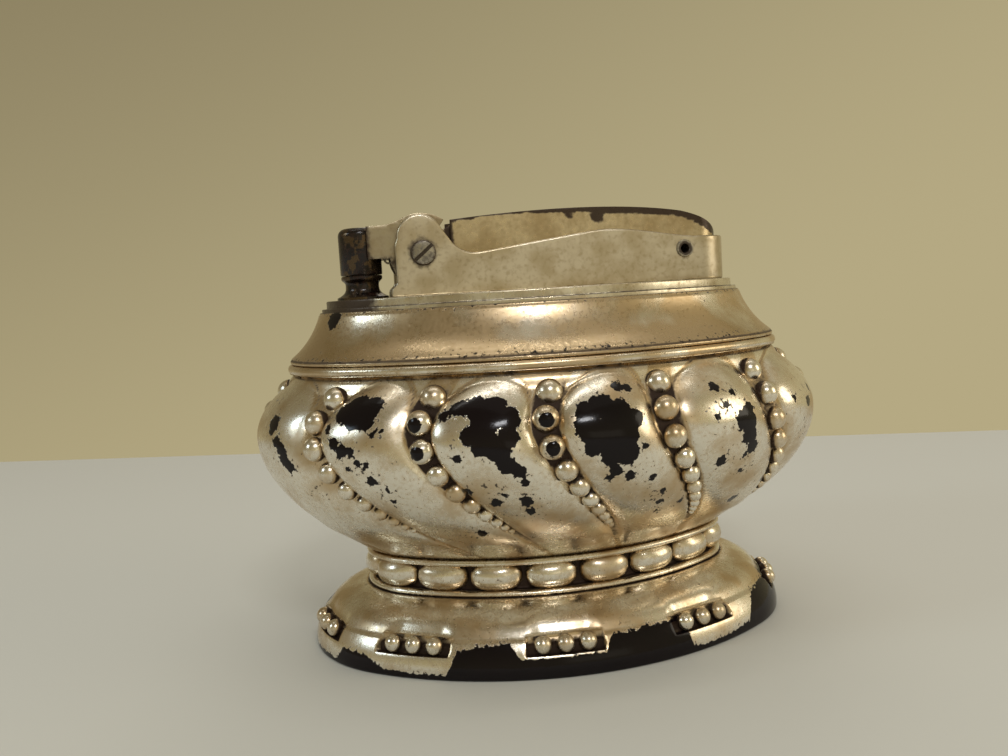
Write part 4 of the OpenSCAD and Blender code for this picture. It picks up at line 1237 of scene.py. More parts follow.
class LIGHTER_OT_frame(bpy.types.Operator):
    """Models the mechanism's frame, a strip bent to a U in plan"""

    bl_idname = "lighter.frame"
    bl_label = "Frame"

    def execute(self, context):
        half = FRAME_HALF
        wall = 0.9 * MM
        tall = 14 * MM
        piece = slab(frame_outline(), 2 * half + 1 * MM)
        front = FRONT_X - 3 * MM
        combine(piece, upright(stadium(half, front), DECK_Z - 1 * MM, tall), "INTERSECT")
        hollow = upright(stadium(half - wall, front - 1 * MM), DECK_Z - 1 * MM, tall)
        combine(piece, hollow, "DIFFERENCE")
        close_edit(piece, 0.005 * MM)
        soften(piece, 0.3 * MM, 4, 40)
        combine(piece, rod(0.9 * MM, RIVET, "Y"), "DIFFERENCE")
        scored(piece, 0.6 * MM)
        complete(piece, "frame_strip", 30, self.dirt)
        give(piece, satin_steel(), "base", "frame_steel", "frame")
        return {"FINISHED"}

    def dirt(self, p):
        """Soil at the frame's foot, round the screw's head and round the rivet; painted shade on the round end and
        away from the middle, which leaves a painted highlight there.
        """
        foot = 0.5 * (1 - smooth((p.z - DECK_Z) / (0.5 * MM)))
        screw = 0.62 * (1 - smooth((off_axis(p, AXLE) - 1.8 * MM) / (1.3 * MM)))
        rivet = 0.55 * (1 - smooth((off_axis(p, RIVET) - 1.2 * MM) / (0.8 * MM)))
        # Painted shade darkens the round end and both sides of the middle, leaving a painted highlight in the
        # middle
        end = 0.35 * smooth(1 - abs(p.x - RIVET.x - 4.5 * MM) / (2 * MM))
        painted_shade_off_middle = 0.3 * smooth((abs(p.x - 8 * MM) - 1 * MM) / (14 * MM))
        return max(foot, screw, rivet, end, painted_shade_off_middle)


def off_axis(point, pivot):
    """Distance of a point from a pivot's axis."""
    return math.hypot(point.x - pivot.x, point.z - pivot.z)


class LIGHTER_OT_pivots(bpy.types.Operator):
    """Models the slotted axle screw and the hollow lever rivet"""

    bl_idname = "lighter.pivots"
    bl_label = "Pivots"

    head_height = 0.9 * MM

    def execute(self, context):
        self.screw()
        self.rivet()
        return {"FINISHED"}

    def screw(self):
        """A screw through both cheeks, with a domed head and a slot."""
        # Radii, and places along the axle from the cheek's face
        dome = ((AXIS_GAP, -0.9), (1.3, -0.9), (1.62, -0.82), (1.78, -0.6), (1.8, -0.35))
        under_head, end = ((1.8, 0), (1.1, 0)), ((1.1, 0.3), (AXIS_GAP, 0.3))
        profile = in_mm((*dome, *under_head), -FRAME_HALF) + in_mm(end, FRAME_HALF)
        screw = turned(profile, (AXLE.x, 0, AXLE.z), "Y")
        start_piece()
        bpy.ops.mesh.primitive_cube_add(size=1, location=(0, 0, 0))
        slot = bpy.context.object
        slot.data.transform(Matrix.Diagonal((8 * MM, self.head_height, 0.5 * MM, 1)))
        slot.data.transform(Matrix.Rotation(math.radians(-40), 4, "Y"))
        slot.data.transform(Matrix.Translation((AXLE.x, -FRAME_HALF - self.head_height, AXLE.z)))
        combine(screw, slot, "DIFFERENCE")
        complete(screw, "slotted_screw", 35, self.screw_dirt_and_shade)
        give(screw, turned_steel(), "base", "bright_steel", "axle_screw")

    def rivet(self):
        """A rivet with a rolled rim at each end and a blind bore in it."""
        outside = FRAME_HALF + 0.22 * MM
        bore_depth = 1.8 * MM
        rim = ((0.65, 0.1), (0.74, 0), (1.15, 0), (1.29, 0.1))
        front = in_mm(((AXIS_GAP, -0.4),)) + [(0.6 * MM, bore_depth - outside)]
        front += in_mm(rim, -outside) + in_mm(((1.32, 0), (1.1, 0)), -FRAME_HALF)
        rear = [(radius, -place) for radius, place in reversed(front)]
        tube = turned(front + rear, (RIVET.x, 0, RIVET.z), "Y")

        # Painted shade darkens the blind bore
        def dirt(p):
            return 1 - 0.6 * smooth((off_axis(p, RIVET) - 0.7 * MM) / (0.4 * MM))

        complete(tube, "hollow_rivet", 35, dirt)
        give(tube, turned_steel(), "base", "bright_steel", "lever_rivet")

    def screw_dirt_and_shade(self, p):
        """Painted shade in the slot and round the head, and dirt in spots on its face."""
        # Painted shade darkens the rim of the head and the slot
        around = smooth((off_axis(p, AXLE) - 1.45 * MM) / (0.3 * MM))
        deep = smooth((p.y + FRAME_HALF + 0.8 * MM) / (0.15 * MM))
        spots = 0.46
        return max(around, deep, spots)


def lever_lines():
    """Side view of the lever's top, from its front end to its heel."""
    z = DECK_Z + 11.5 * MM
    front = AXLE.x + 4.2 * MM
    end = FRAME_REAR + 3.9 * MM
    top_line = (
        (front, z - 0.95 * MM),
        (front + 13.6 * MM, z + 0.32 * MM),
        (RIVET.x - 8.4 * MM, z + 0.32 * MM),
        (RIVET.x, z - 1.15 * MM),
    )
    heel = (
        top_line[3],
        (RIVET.x + 3.6 * MM, z - 2.05 * MM),
        (end - 0.6 * MM, z - 3.4 * MM),
        (end, z - 5 * MM),
    )
    return top_line, heel


def lever_outline(drop=0.0):
    """Side view of the lever."""
    top_line, heel = lever_lines()
    outline = cubic(top_line, 20) + cubic(heel, 10)[1:]
    outline += [
        (heel[3][0], RIVET.z - 0.5 * MM),
        (RIVET.x + 3 * MM, RIVET.z - 2.5 * MM),
        (RIVET.x - 3 * MM, RIVET.z - 2.9 * MM),
        (top_line[0][0], DECK_Z + 6 * MM),
    ]
    return [(x, z - drop) for x, z in outline]


class LIGHTER_OT_lever(bpy.types.Operator):
    """Models the stamped thumb lever and its drive pin"""

    bl_idname = "lighter.lever"
    bl_label = "Thumb Lever"

    # Width of the brown band under the lever's top edge, along X, both in millimetres
    brown_band = (
        (-12.1, 0.55), (-10, 0.4), (-7.5, 0.26), (-0.5, 0.28), (1, 0.55), (4, 0.6), (8, 0.75),
        (9, 1.0), (12, 1.0), (16, 0.95), (21, 0.9), (25, 0.8), (28, 0.6),
    )

    def execute(self, context):
        s = context.scene.lighter_sizes
        half = 3.9 * MM
        wall = 0.55 * MM
        front = lever_lines()[0][0][0]
        lowest = DECK_Z - 1 * MM
        tall = 16 * MM
        piece = slab(lever_outline(), 2 * half + 1 * MM)
        combine(piece, upright(stadium(half, front - 1 * MM), lowest, tall), "INTERSECT")
        close_edit(piece, 0.005 * MM)
        soften(piece, 0.55 * MM, 4, 50)
        core = slab(lever_outline(s.sheet), 2 * half + 1 * MM)
        combine(core, upright(stadium(half - wall, front - 1 * MM), lowest, tall), "INTERSECT")
        combine(piece, core, "DIFFERENCE")
        start_piece()
        bpy.ops.mesh.primitive_cube_add(size=1, location=(front + 1.4 * MM, 0, DECK_Z + 9 * MM))
        notch = bpy.context.object
        notch.scale = (5 * MM, 2 * (half - wall), 18 * MM)
        combine(piece, notch, "DIFFERENCE")
        combine(piece, rod(1.15 * MM, RIVET, "Y"), "DIFFERENCE")
        close_edit(piece, 0.005 * MM)
        scored(piece, 0.5 * MM, True)
        complete(piece, "lever_cover", 40, self.dirt)
        give(piece, lever_plate(), "lever", "lever_plate", "thumb_lever")
        return {"FINISHED"}

    def dirt(self, p):
        """Tarnish on the top edge, two brown blots under it, darker at the front end, and thumb wear."""
        top_line, heel = lever_lines()
        front = top_line[0][0]
        if p.x > RIVET.x:
            edge_z = cubic_at(heel, min(1.0, (p.x - RIVET.x) / (heel[3][0] - RIVET.x)))[1]
        else:
            edge_z = cubic_at(top_line, max(0.0, (p.x - front) / (RIVET.x - front)))[1]
        width = along_line(self.brown_band, p.x / MM) * MM
        band = 1 - smooth((edge_z - p.z - 0.6 * width) / (0.8 * width))
        blot = spot(p, (9.6, p.y / MM, edge_z / MM - 1.3), 1.1)
        smear = 0.7 * spot(p, (5.4, p.y / MM, edge_z / MM - 0.9), 0.9)
        nose = 0.8 * smooth((front + 1 * MM - p.x) / (1 * MM))
        on_top = smooth(1 - (edge_z - p.z) / (0.3 * MM)) * smooth(1.4 - abs(p.y) / (2.4 * MM))
        thumbed = 0.5 * on_top * smooth(1.5 - abs(p.x - 4 * MM) / (11 * MM))
        return max(band - thumbed, blot, smear, nose)


def spring_middle():
    """Place along X of the return spring's axis."""
    low_end, high_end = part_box("return_spring")
    return (low_end.x + high_end.x) / 2


class LIGHTER_OT_spring(bpy.types.Operator):
    """Models the lever's return spring, in two coils that slide into each other"""

    bl_idname = "lighter.spring"
    bl_label = "Return Spring"

    def execute(self, context):
        low_end, high_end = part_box("return_spring")
        # The lower coil's height keeps it under the lever at full press
        wire, lower_height = 0.35 * MM, 7.95 * MM
        radius = (high_end.x - low_end.x - wire) / 2
        lower = coil(wire, radius, spring_middle(), low_end.z, lower_height, 4)
        complete(lower, "spring_lower", 50, 0.2)
        give(lower, turned_steel(), "base", "bright_steel", "return_spring")
        # The upper coil swings with the lever and to the left, so at rest it stands to the right
        wire, radius, aside, bottom = 0.3 * MM, 1.1 * MM, 0.3 * MM, 57 * MM
        upper = coil(wire, radius, spring_middle() + aside, bottom, high_end.z - bottom, 2)
        complete(upper, "spring_upper", 50, 0.2)
        give(upper, turned_steel(), "lever", "bright_steel")
        return {"FINISHED"}


class LIGHTER_OT_snuffer(bpy.types.Operator):
    """Models the snuffer's arm and hood with its cap"""

    bl_idname = "lighter.snuffer"
    bl_label = "Snuffer"

    def execute(self, context):
        s = context.scene.lighter_sizes
        give(self.arm(s), snuffer_plate(), "snuffer", "lever_plate", "snuffer_arm")
        give(self.cap(), burnt_metal(), "snuffer", "burnt_metal", "snuffer_cap")
        return {"FINISHED"}

    def arm(self, s):
        """A folded sheet: two cheeks under one skin, with a fork behind for the drive pin."""
        half = 3.1 * MM
        hood = 5.75 * MM
        cheek = 4.6 * MM
        tip_x = WICK_X + 1 * MM
        low_z, high_z = AXLE.z - 0.4 * MM, AXLE.z + 4.2 * MM
        start, end = 117, 54
        axle = (AXLE.x, AXLE.z)
        fork = math.degrees(math.atan2(2.6, 6.3))
        # The fork's reach, its half width, half the gap for the drive pin and the gap's root
        out, side, gap, root = 7.6 * MM, 1.85 * MM, 0.95 * MM, 5.1 * MM
        rear = math.degrees(math.asin(side / cheek))

        def at_fork(out, up):
            """Point given along and across the fork, which leans back from the axle."""
            level, rise = math.cos(math.radians(fork)), math.sin(math.radians(fork))
            return (AXLE.x + out * level - up * rise, AXLE.z + out * rise + up * level)

        def top_line(thick):
            """The arm's top, which rises from the tip into the hood."""
            a = math.radians(start)
            join = (AXLE.x + (hood - thick) * math.cos(a), AXLE.z + (hood - thick) * math.sin(a))
            before = (join[0] - 1.4 * MM * math.sin(a), join[1] + 1.4 * MM * math.cos(a))
            tip = (tip_x, high_z - thick)
            return cubic((tip, (tip_x + 3.2 * MM, tip[1]), before, join), 14)

        outline = [(tip_x, low_z)] + top_line(0)
        outline += arc(axle, hood, start, end, 20)[1:]
        outline += arc(axle, cheek, end, fork + rear, 2)
        outline += [at_fork(out, side), at_fork(out, gap), at_fork(root, gap)]
        outline += [at_fork(root, -gap), at_fork(out, -gap), at_fork(out, -side)]
        low_angle = -180 - math.degrees(math.asin((low_z - AXLE.z) / cheek))
        outline += arc(axle, cheek, fork - rear, low_angle, 20)
        piece = slab(outline, 2 * half)
        thick = s.sheet
        inner = [(tip_x - 3 * MM, low_z - 5 * MM), (tip_x - 3 * MM, high_z - thick)]
        inner += top_line(thick)
        inner += arc(axle, hood - thick, start, end, 20)[1:]
        inner += arc(axle, hood + 4 * MM, end, -60, 8) + [(AXLE.x, low_z - 5 * MM)]
        combine(piece, slab(inner, 2 * (half - thick)), "DIFFERENCE")
        combine(piece, rod(1.65 * MM, AXLE, "Y"), "DIFFERENCE")
        combine(piece, rod(3.02 * MM, (WICK_X, 0, AXLE.z), "Z"), "DIFFERENCE")
        close_edit(piece, 0.005 * MM)
        soften(piece, 0.12 * MM, 2, 40)
        scored(piece, 0.5 * MM)
        return complete(piece, "snuffer_hood", 35, lambda p: self.smoke_and_shade(p, tip_x))

    def smoke_and_shade(self, p, tip_x):
        """Soot at the tip, darker towards the bottom, and painted shade behind the hood."""
        tip = 0.8 * smooth((tip_x + 1.6 * MM - p.x) / (2 * MM))
        low = 0.6 * smooth((AXLE.z + 0.5 * MM - p.z) / (1 * MM))
        # Painted shade behind the hood, where it meets the lever
        rear = 0.8 * smooth((p.x - AXLE.x - 2.6 * MM) / (1.2 * MM))
        return max(tip, low, rear)

    def cap(self):
        """A small drawn cup with a rounded top edge."""
        high, edge = top("snuffer_cap"), 1.1 * MM
        profile = in_mm(((2.5, 0), (2.9, 0), (3.0, 0.15)), low("snuffer_cap"))
        profile += arc((1.9 * MM, high - edge), edge, 0, 90, 8)
        profile += in_mm(((AXIS_GAP, 0), (AXIS_GAP, -0.6), (1.9, -0.6), (2.5, -1.2)), high)
        cap = turned(profile, (WICK_X, 0, 0))
        return complete(cap, "snuffer_cup", 45, 0.5)


class LIGHTER_OT_burner(bpy.types.Operator):
    """Models the burner and its wick"""

    bl_idname = "lighter.burner"
    bl_label = "Burner"

    def execute(self, context):
        # Radii and heights over the top plate, in millimetres
        spigot = ((1.4, -2.5), (2.2, -2.5), (2.2, 0), (3.7, 0))
        flare = cubic(((3.7, 0.35), (2.4, 0.9), (2.4, 1.4), (2.4, 2.0)), 8)
        bell = cubic(((2.4, 2.2), (2.4, 2.6), (2.95, 2.7), (2.95, 3.0)), 6)
        flange = ((2.95, 3.3), (2.85, 3.4), (1.75, 3.4))
        mouth = ((1.75, 5.8), (1.4, 5.8))
        profile = in_mm((*spigot, *flare, *bell, *flange, *mouth), DECK_Z)
        burner = turned(profile, (WICK_X, 0, 0))
        complete(burner, "burner_tube", 35, 0.3)
        give(burner, burnt_metal(), "base", "burnt_metal", "burner")
        return {"FINISHED"}


class LIGHTER_OT_inside(bpy.types.Operator):
    """Gives the pieces inside the lighter their finishes"""

    bl_idname = "lighter.inside"
    bl_label = "Inside"

    def execute(self, context):
        finishes = {
            "brass": dull_brass(),
            "bright_steel": turned_steel(),
            "drive_pin": lever_plate(),
            "hard_steel": hard_steel(),
            "flint_alloy": hard_steel(),
            "cotton": cotton_yarn(),
            "fibre": pressed_fibre(),
        }
        for entry in frame["record"]["subparts"]:
            piece = frame["nodes"][entry["node"]]
            finish = finishes.get(entry["node"]) or finishes.get(entry["material_slot"])
            if finish and not piece.hide_render:
                piece.data.materials.clear()
                piece.data.materials.append(finish)
        return {"FINISHED"}


# Finishes
# Sockets of a Mix node that carry colours: two inputs and the output
COLOUR_A, COLOUR_B, COLOUR_OUT = 6, 7, 2


def add(tree, kind, values=None, out=0, **settings):
    """Adds a node with its settings and its values or links, and gives one of its outputs."""
    node = tree.nodes.new("ShaderNode" + kind)
    for name, value in settings.items():
        setattr(node, name, value)
    for key, value in (values or {}).items():
        if isinstance(value, bpy.types.NodeSocket):
            tree.links.new(value, node.inputs[key])
        else:
            node.inputs[key].default_value = value
    return node.outputs[out] if node.outputs else None


def colour4(colour):
    """A colour with full alpha."""
    return (*colour, 1.0)


def new_finish(name):
    """An empty node material, or None with the one that exists already."""
    found = bpy.data.materials.get(name)
    if found:
        return found, None
    material = bpy.data.materials.new(name)
    material.use_nodes = True
    material.node_tree.nodes.clear()
    return material, material.node_tree


def ragged(tree, mask, *grains):
    """A mask roughened by noises, each with its strength, and no larger on the whole."""
    for grain, strength in grains:
        mask = add(tree, "Math", {0: grain, 1: strength, 2: mask}, operation="MULTIPLY_ADD")
    half = sum(strength for _, strength in grains) / 2
    return add(tree, "Math", {0: mask, 1: half}, operation="SUBTRACT")


def fading(tree, value, start, end, most, a, b):
    """Colour that turns from one to the other as a value rises, by a share at most."""
    values = {"Value": value, "From Min": start, "From Max": end, "To Max": most}
    share = add(tree, "MapRange", values, interpolation_type="SMOOTHSTEP")
    values = {"Factor": share, COLOUR_A: a, COLOUR_B: b}
    return add(tree, "Mix", values, COLOUR_OUT, data_type="RGBA")


def surfaced(tree, values):
    """Wires a surface with its values to the material's output."""
    add(tree, "OutputMaterial", {"Surface": add(tree, "BsdfPrincipled", values)})


def worn_silver():
    """Silver plate over a blackened casting, rubbed bright on the heights."""
    return plated("Silver plate, worn over blackened metal", 0.23, 1.0)


def satin_silver():
    """The same plate, spun and satin, on the collar: its grooves are less dark."""
    return plated("Silver plate, spun satin", 0.24, 0.85)


def plated(name, roughness, dirt):
    """Electroplated silver: a warm grey mirror that hazes, browns in its grooves and peels."""
    material, tree = new_finish(name)
    if tree is None:
        return material
    c = bpy.context.scene.lighter_finish
    at = add(tree, "TexCoord", out="Object")
    grime_and_shade = add(tree, "Attribute", out="Fac", attribute_name="grime_and_shade")
    bare = add(tree, "Attribute", out="Fac", attribute_name="bare")
    clouds = add(tree, "TexNoise", {"Vector": at, "Scale": 1 / (6 * MM), "Detail": 3})
    blots = add(tree, "TexNoise", {"Vector": at, "Scale": 1 / (1.5 * MM), "Detail": 4})
    fine = add(tree, "TexNoise", {"Vector": at, "Scale": 1 / (0.5 * MM), "Detail": 5})
    # Thin tarnish browns the plate in clouds, more where the dirt and painted shade lie, and in fine flecks
    browned = add(tree, "Math", {0: grime_and_shade, 1: 0.9, 2: clouds}, operation="MULTIPLY_ADD")
    plate = fading(tree, browned, 0.4, 0.72, 0.85, colour4(c.silver), colour4(c.tan))
    plate = fading(tree, fine, 0.42, 0.72, 0.4, plate, colour4(c.tan))
    # Crud and painted shade gather in the grooves, ragged at their edge
    crud_and_shade = ragged(tree, grime_and_shade, (blots, 0.6), (fine, 0.4))
    values = {"Value": crud_and_shade, "From Min": 0.3, "From Max": 0.75, "To Max": dirt}
    crud_and_shade = add(tree, "MapRange", values, interpolation_type="SMOOTHSTEP")
    values = {"Factor": crud_and_shade, COLOUR_A: plate, COLOUR_B: colour4(c.crud_and_shade)}
    surface = add(tree, "Mix", values, COLOUR_OUT, data_type="RGBA")
    # Where the plate has gone the casting shows, black and glossy, with a crisp ragged edge
    torn = ragged(tree, bare, (blots, 0.5), (fine, 0.6))
    values = {"Value": torn, "From Min": 0.485, "From Max": 0.515}
    torn = add(tree, "MapRange", values, interpolation_type="SMOOTHSTEP")
    pits = add(tree, "Math", {0: bare, 1: 0.32, 2: fine}, operation="MULTIPLY_ADD")
    values = {"Value": pits, "From Min": 0.7, "From Max": 0.73, "To Max": 0.85}
    pits = add(tree, "MapRange", values, interpolation_type="SMOOTHSTEP")
    gone = add(tree, "Math", {0: torn, 1: pits}, operation="ADD", use_clamp=True)
    values = {"Factor": clouds, COLOUR_A: colour4(c.bare), COLOUR_B: colour4(c.depths)}
    casting = add(tree, "Mix", values, COLOUR_OUT, data_type="RGBA")
    values = {"Factor": gone, COLOUR_A: surface, COLOUR_B: casting}
    surface = add(tree, "Mix", values, COLOUR_OUT, data_type="RGBA")
    # The plate is smoothest where it is clean, and the casting glossier than the plate
    values = {"Value": clouds, "From Min": 0.3, "From Max": 0.7}
    values |= {"To Min": roughness, "To Max": roughness + 0.1}
    rough = add(tree, "MapRange", values, interpolation_type="SMOOTHSTEP")
    rough = ragged(tree, rough, (fine, 0.3))
    rough = add(tree, "Math", {0: crud_and_shade, 1: 0.3, 2: rough}, operation="MULTIPLY_ADD")
    rough = add(tree, "Mix", {"Factor": gone, 2: rough, 3: 0.13}, data_type="FLOAT")
    metal = add(tree, "Math", {0: crud_and_shade, 1: -0.4, 2: 1.0}, operation="MULTIPLY_ADD")
    metal = add(tree, "Math", {0: metal, 1: gone}, operation="SUBTRACT", use_clamp=True)
    gloss = add(tree, "Math", {0: gone, 1: -0.28, 2: 0.5}, operation="MULTIPLY_ADD")
    # The casting lies below the plate's skin
    height = add(tree, "Math", {0: gone, 1: -2.0, 2: fine}, operation="MULTIPLY_ADD")
    bump = {"Height": height, "Strength": 0.4, "Distance": 0.025 * MM}
    values = {
        "Base Color": surface,
        "Metallic": metal,
        "Roughness": rough,
        "Specular IOR Level": gloss,
        "Normal": add(tree, "Bump", bump),
    }
    surfaced(tree, values)
    return material


def simple_metal(name, colour, roughness, grit, dirt=0.0, stain=None):
    """A metal with uneven haze and stains, and crud with painted shade where the piece is marked."""
    material, tree = new_finish(name)
    if tree is None:
        return material
    at = add(tree, "TexCoord", out="Object")
    grime_and_shade = add(tree, "Attribute", out="Fac", attribute_name="grime_and_shade")
    fine = add(tree, "TexNoise", {"Vector": at, "Scale": 1 / grit, "Detail": 4})
    clouds = add(tree, "TexNoise", {"Vector": at, "Scale": 1 / (6 * grit), "Detail": 3})
    darker = colour4(stain or tuple(0.62 * v for v in colour))
    surface = fading(tree, clouds, 0.36, 0.68, 0.6, colour4(colour), darker)
    surface = fading(tree, fine, 0.45, 0.75, 0.5, surface, darker)
    crud_and_shade = ragged(tree, grime_and_shade, (fine, 0.6), (clouds, 0.3))
    values = {"Value": crud_and_shade, "From Min": 0.35, "From Max": 0.75, "To Max": dirt}
    crud_and_shade = add(tree, "MapRange", values, interpolation_type="SMOOTHSTEP")
    crud_colour = colour4(bpy.context.scene.lighter_finish.crud_and_shade)
    values = {"Factor": crud_and_shade, COLOUR_A: surface, COLOUR_B: crud_colour}
    surface = add(tree, "Mix", values, COLOUR_OUT, data_type="RGBA")
    metal = add(tree, "Math", {0: crud_and_shade, 1: -0.5, 2: 1.0}, operation="MULTIPLY_ADD")
    values = {"Value": fine, "From Min": 0.3, "From Max": 0.7}
    values |= {"To Min": roughness - 0.05, "To Max": roughness + 0.08}
    rough = add(tree, "MapRange", values, interpolation_type="SMOOTHSTEP")
    bump = {"Height": fine, "Strength": 0.15, "Distance": 0.04 * MM}
    values = {
        "Base Color": surface,
        "Metallic": metal,
        "Roughness": rough,
        "Normal": add(tree, "Bump", bump),
    }
    surfaced(tree, values)
    return material


def satin_steel():
    """Plated steel strip with a satin face, whose highlights are soft."""
    c = bpy.context.scene.lighter_finish
    return simple_metal("Steel strip, satin plated", c.steel, 0.33, 0.7 * MM, 0.8, c.steel_stain)


def deck_metal():
    """Dull plated brass sheet, pale and hazy, black where soot and dirt lie."""
    c = bpy.context.scene.lighter_finish
    return simple_metal("Brass sheet, dull plated", c.deck, 0.3, 0.7 * MM, 0.95, c.deck_stain)


def lever_plate():
    """Plated steel stamping, browned along its edges."""
    c = bpy.context.scene.lighter_finish
    return simple_metal("Steel stamping, worn plate", c.lever, 0.3, 0.8 * MM, 0.97, c.lever_stain)


def snuffer_plate():
    """Plated steel stamping, smoked near the flame."""
    c = bpy.context.scene.lighter_finish
    name = "Steel stamping, smoked plate"
    return simple_metal(name, c.snuffer, 0.34, 0.8 * MM, 0.95, c.snuffer_stain)


def turned_steel():
    """Steel turned bright on a lathe."""
    c = bpy.context.scene.lighter_finish
    return simple_metal("Steel, turned", c.turned, 0.3, 0.5 * MM, 0.9)


def hard_steel():
    """Hardened steel, dark from quenching."""
    c = bpy.context.scene.lighter_finish
    return simple_metal("Steel, hardened and dark", c.hard, 0.4, 0.4 * MM)


def dull_brass():
    """Brass sheet and rod, dull with age."""
    c = bpy.context.scene.lighter_finish
    return simple_metal("Brass, dull", c.brass, 0.42, 0.9 * MM)


def burnt_metal():
    """Brass burnt black by the flame, rubbed through to brown in patches."""
    material, tree = new_finish("Brass, burnt and sooted")
    if tree is None:
        return material
    c = bpy.context.scene.lighter_finish
    at = add(tree, "TexCoord", out="Object")
    patches = add(tree, "TexNoise", {"Vector": at, "Scale": 1 / (2.2 * MM), "Detail": 5})
    fine = add(tree, "TexNoise", {"Vector": at, "Scale": 1 / (0.5 * MM), "Detail": 4})
    burnt = fading(tree, fine, 0.4, 0.7, 0.5, colour4(c.soot), colour4(c.ember))
    # The rubbed patches have a crisp edge and shine as metal
    rubbed = ragged(tree, patches, (fine, 0.25))
    values = {"Value": rubbed, "From Min": 0.5, "From Max": 0.56, "To Max": 0.85}
    rubbed = add(tree, "MapRange", values, interpolation_type="SMOOTHSTEP")
    values = {"Factor": rubbed, COLOUR_A: burnt, COLOUR_B: colour4(c.rubbed)}
    surface = add(tree, "Mix", values, COLOUR_OUT, data_type="RGBA")
    metal = add(tree, "Math", {0: rubbed, 1: 0.7, 2: 0.25}, operation="MULTIPLY_ADD")
    values = {"Value": fine, "From Min": 0.3, "From Max": 0.7, "To Min": 0.16, "To Max": 0.32}
    rough = add(tree, "MapRange", values, interpolation_type="SMOOTHSTEP")
    height = add(tree, "Math", {0: rubbed, 1: -0.6, 2: fine}, operation="MULTIPLY_ADD")
    bump = {"Height": height, "Strength": 0.3, "Distance": 0.05 * MM}
    values = {
        "Base Color": surface,
        "Metallic": metal,
        "Roughness": rough,
        "Normal": add(tree, "Bump", bump),
    }
    surfaced(tree, values)
    return material


def soft_stuff(name, colour, grain):
    """A matt fibrous stuff with a fine grain."""
    material, tree = new_finish(name)
    if tree is None:
        return material
    at = add(tree, "TexCoord", out="Object")
    fibres = add(tree, "TexNoise", {"Vector": at, "Scale": 1 / grain, "Detail": 4})
    darker = tuple(0.6 * v for v in colour)
    values = {"Factor": fibres, COLOUR_A: colour4(colour), COLOUR_B: colour4(darker)}
    surface = add(tree, "Mix", values, COLOUR_OUT, data_type="RGBA")
    surfaced(tree, {"Base Color": surface, "Roughness": 0.9})
    return material


def cotton_yarn():
    """Cotton yarn of the wick and its packing."""
    return soft_stuff("Cotton, twisted", bpy.context.scene.lighter_finish.cotton, 0.3 * MM)


def pressed_fibre():
    """Red-brown pressed fibre of the washer."""
    return soft_stuff("Fibre, pressed", bpy.context.scene.lighter_finish.fibre, 0.2 * MM)


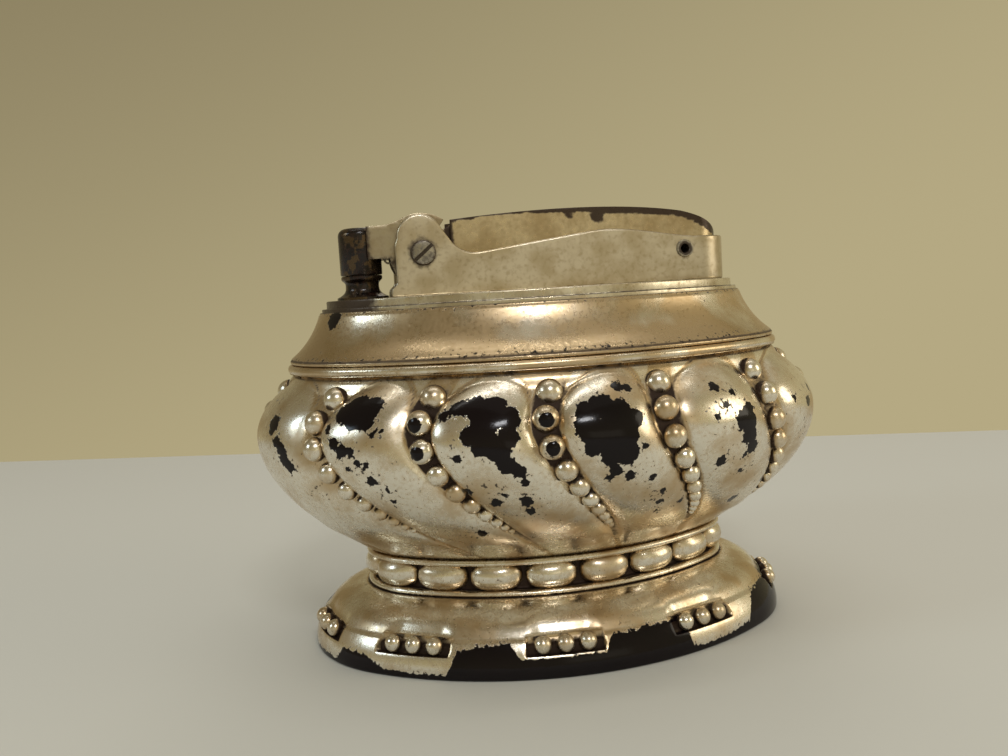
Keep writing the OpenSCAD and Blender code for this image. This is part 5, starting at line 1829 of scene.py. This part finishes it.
class LIGHTER_OT_stage(bpy.types.Operator):
    """Sets the floor, the backdrop, the lamps and the camera"""

    bl_idname = "lighter.stage"
    bl_label = "Stage"

    def execute(self, context):
        c = context.scene.lighter_finish
        floor = self.floor(c)
        lamps = [
            self.lamp("key", (0.02, -0.45, 0.42), (0.15, 0.05), 0.8, "#FAFBFF"),
            self.lamp("strip", (0, -0.01, 0.55), (0.5, 0.03), 0.22, "#FFFDF8"),
            self.lamp("room", (0.14, -0.5, 0.1), (0.22, 0.12), 0.03, "#FFF8EA"),
            self.lamp("sky", (0.12, 0.1, 0.66), (0.9, 0.9), 0.5, "#FFFBF2"),
            self.lamp("window", (-0.5, -0.1, 0.3), (0.12, 0.12), 0.4, "#DCF0FF"),
            self.lamp("side", (0.5, -0.2, 0.2), (0.25, 0.25), 0.5, "#FFF4E0"),
            self.lamp("back", (0.15, 0.5, 0.45), (0.35, 0.35), 0.4, "#FFF8EE"),
        ]
        self.surroundings(context, c)
        camera = self.camera(context)
        context.scene.view_settings.view_transform = "Standard"
        return {"FINISHED"}

    def floor(self, c):
        """A pale table top, whose far edge runs behind the lighter as the wall's foot does."""
        start_piece()
        bpy.ops.mesh.primitive_plane_add(size=1)
        floor = bpy.context.object
        floor.name = "floor"
        # Two places on its far edge, and how far it reaches along that and towards the front
        left, right = Vector((-0.1577, 0.2117)), Vector((0.1632, 0.1010))
        reach = 1.5
        along = (right - left).normalized() * reach
        near = Vector((along.y, -along.x))
        middle = (left + right) / 2
        corners = [middle + along * a + near * n for n in (1, 0) for a in (-1, 1)]
        floor.data.vertices.foreach_set("co", [v for p in corners for v in (p.x, p.y, 0)])
        material, tree = new_finish("Pale table top")
        surfaced(tree, {"Base Color": colour4(c.floor), "Roughness": 0.7})
        floor.data.materials.append(material)
        return floor

    def lamp(self, name, place, size, power, code):
        """A softbox that faces the lighter."""
        data = bpy.data.lights.new(name, "AREA")
        data.shape = "RECTANGLE"
        data.size, data.size_y = size
        data.energy = power
        data.color = srgb(code)
        lamp = bpy.data.objects.new(name, data)
        bpy.context.scene.collection.objects.link(lamp)
        lamp.location = place
        lighter_middle = Vector((0, 0, 0.03))
        aim = lighter_middle - Vector(place)
        lamp.rotation_euler = aim.to_track_quat("-Z", "Y").to_euler()
        return lamp

    def surroundings(self, context, c):
        """A plain room: the backdrop is seen and mirrored, and even light comes from all round."""
        world = bpy.data.worlds.new("Plain room")
        context.scene.world = world
        world.use_nodes = True
        tree = world.node_tree
        tree.nodes.clear()
        # The backdrop darkens slowly upwards and to the left
        way = add(tree, "TexCoord", out="Generated")
        slope = {0: way, 1: (0.375, -0.149, -0.922)}
        rise = add(tree, "VectorMath", slope, "Value", operation="DOT_PRODUCT")
        wall = fading(tree, rise, -0.84, 0.12, 1.0, colour4(c.ceiling), colour4(c.backdrop))
        seen = add(tree, "Background", {"Color": wall, "Strength": 1.0})
        even = add(tree, "Background", {"Color": colour4(c.daylight), "Strength": 0.51})
        rays = 0.0
        for kind in ("Is Camera Ray", "Is Glossy Ray", "Is Transmission Ray"):
            ray = add(tree, "LightPath", out=kind)
            rays = add(tree, "Math", {0: rays, 1: ray}, operation="ADD")
        both = add(tree, "MixShader", {0: rays, 1: even, 2: seen})
        add(tree, "OutputWorld", {"Surface": both})

    def camera(self, context):
        """The photograph's viewpoint, matched with the lighter's real length."""
        data = bpy.data.cameras.new("camera")
        data.lens = 31.185
        data.sensor_width = 36
        data.clip_start = 5 * MM
        camera = bpy.data.objects.new("camera", data)
        context.scene.collection.objects.link(camera)
        right = Vector((0.9839, -0.1679, -0.0605)).normalized()
        back = Vector((-0.1619, -0.9824, 0.0928))
        back = (back - right * back.dot(right)).normalized()
        up = back.cross(right)
        turn = Matrix((right, up, back)).transposed().to_4x4()
        camera.matrix_world = Matrix.Translation(Vector((-26.31, -129.07, 48.82)) * MM) @ turn
        context.scene.camera = camera
        return camera


class LIGHTER_PT_panel(bpy.types.Panel):
    """Lists the lighter's pieces and sizes"""

    bl_idname = "LIGHTER_PT_panel"
    bl_label = "Table Lighter"
    bl_space_type = "VIEW_3D"
    bl_region_type = "UI"
    bl_category = "Lighter"

    def draw(self, context):
        layout = self.layout
        for operator in STEPS:
            layout.operator(operator.bl_idname)
        for group in (context.scene.lighter_sizes, context.scene.lighter_finish):
            for name in group.__annotations__:
                layout.prop(group, name)


STEPS = (
    LIGHTER_OT_foot,
    LIGHTER_OT_neck,
    LIGHTER_OT_bowl,
    LIGHTER_OT_bowl_beads,
    LIGHTER_OT_collar,
    LIGHTER_OT_top_plate,
    LIGHTER_OT_frame,
    LIGHTER_OT_pivots,
    LIGHTER_OT_lever,
    LIGHTER_OT_spring,
    LIGHTER_OT_snuffer,
    LIGHTER_OT_burner,
    LIGHTER_OT_inside,
    LIGHTER_OT_stage,
)
CLASSES = (LighterSizes, LighterFinish, *STEPS, LIGHTER_PT_panel)


def register():
    for item in CLASSES:
        bpy.utils.register_class(item)
    bpy.types.Scene.lighter_sizes = bpy.props.PointerProperty(type=LighterSizes)
    bpy.types.Scene.lighter_finish = bpy.props.PointerProperty(type=LighterFinish)


def unregister():
    del bpy.types.Scene.lighter_finish
    del bpy.types.Scene.lighter_sizes
    for item in reversed(CLASSES):
        bpy.utils.unregister_class(item)


def main():
    """Builds the lighter."""
    register()
    for step in STEPS:
        group, name = step.bl_idname.split(".")
        getattr(getattr(bpy.ops, group), name)()


if __name__ == "__main__":
    main()
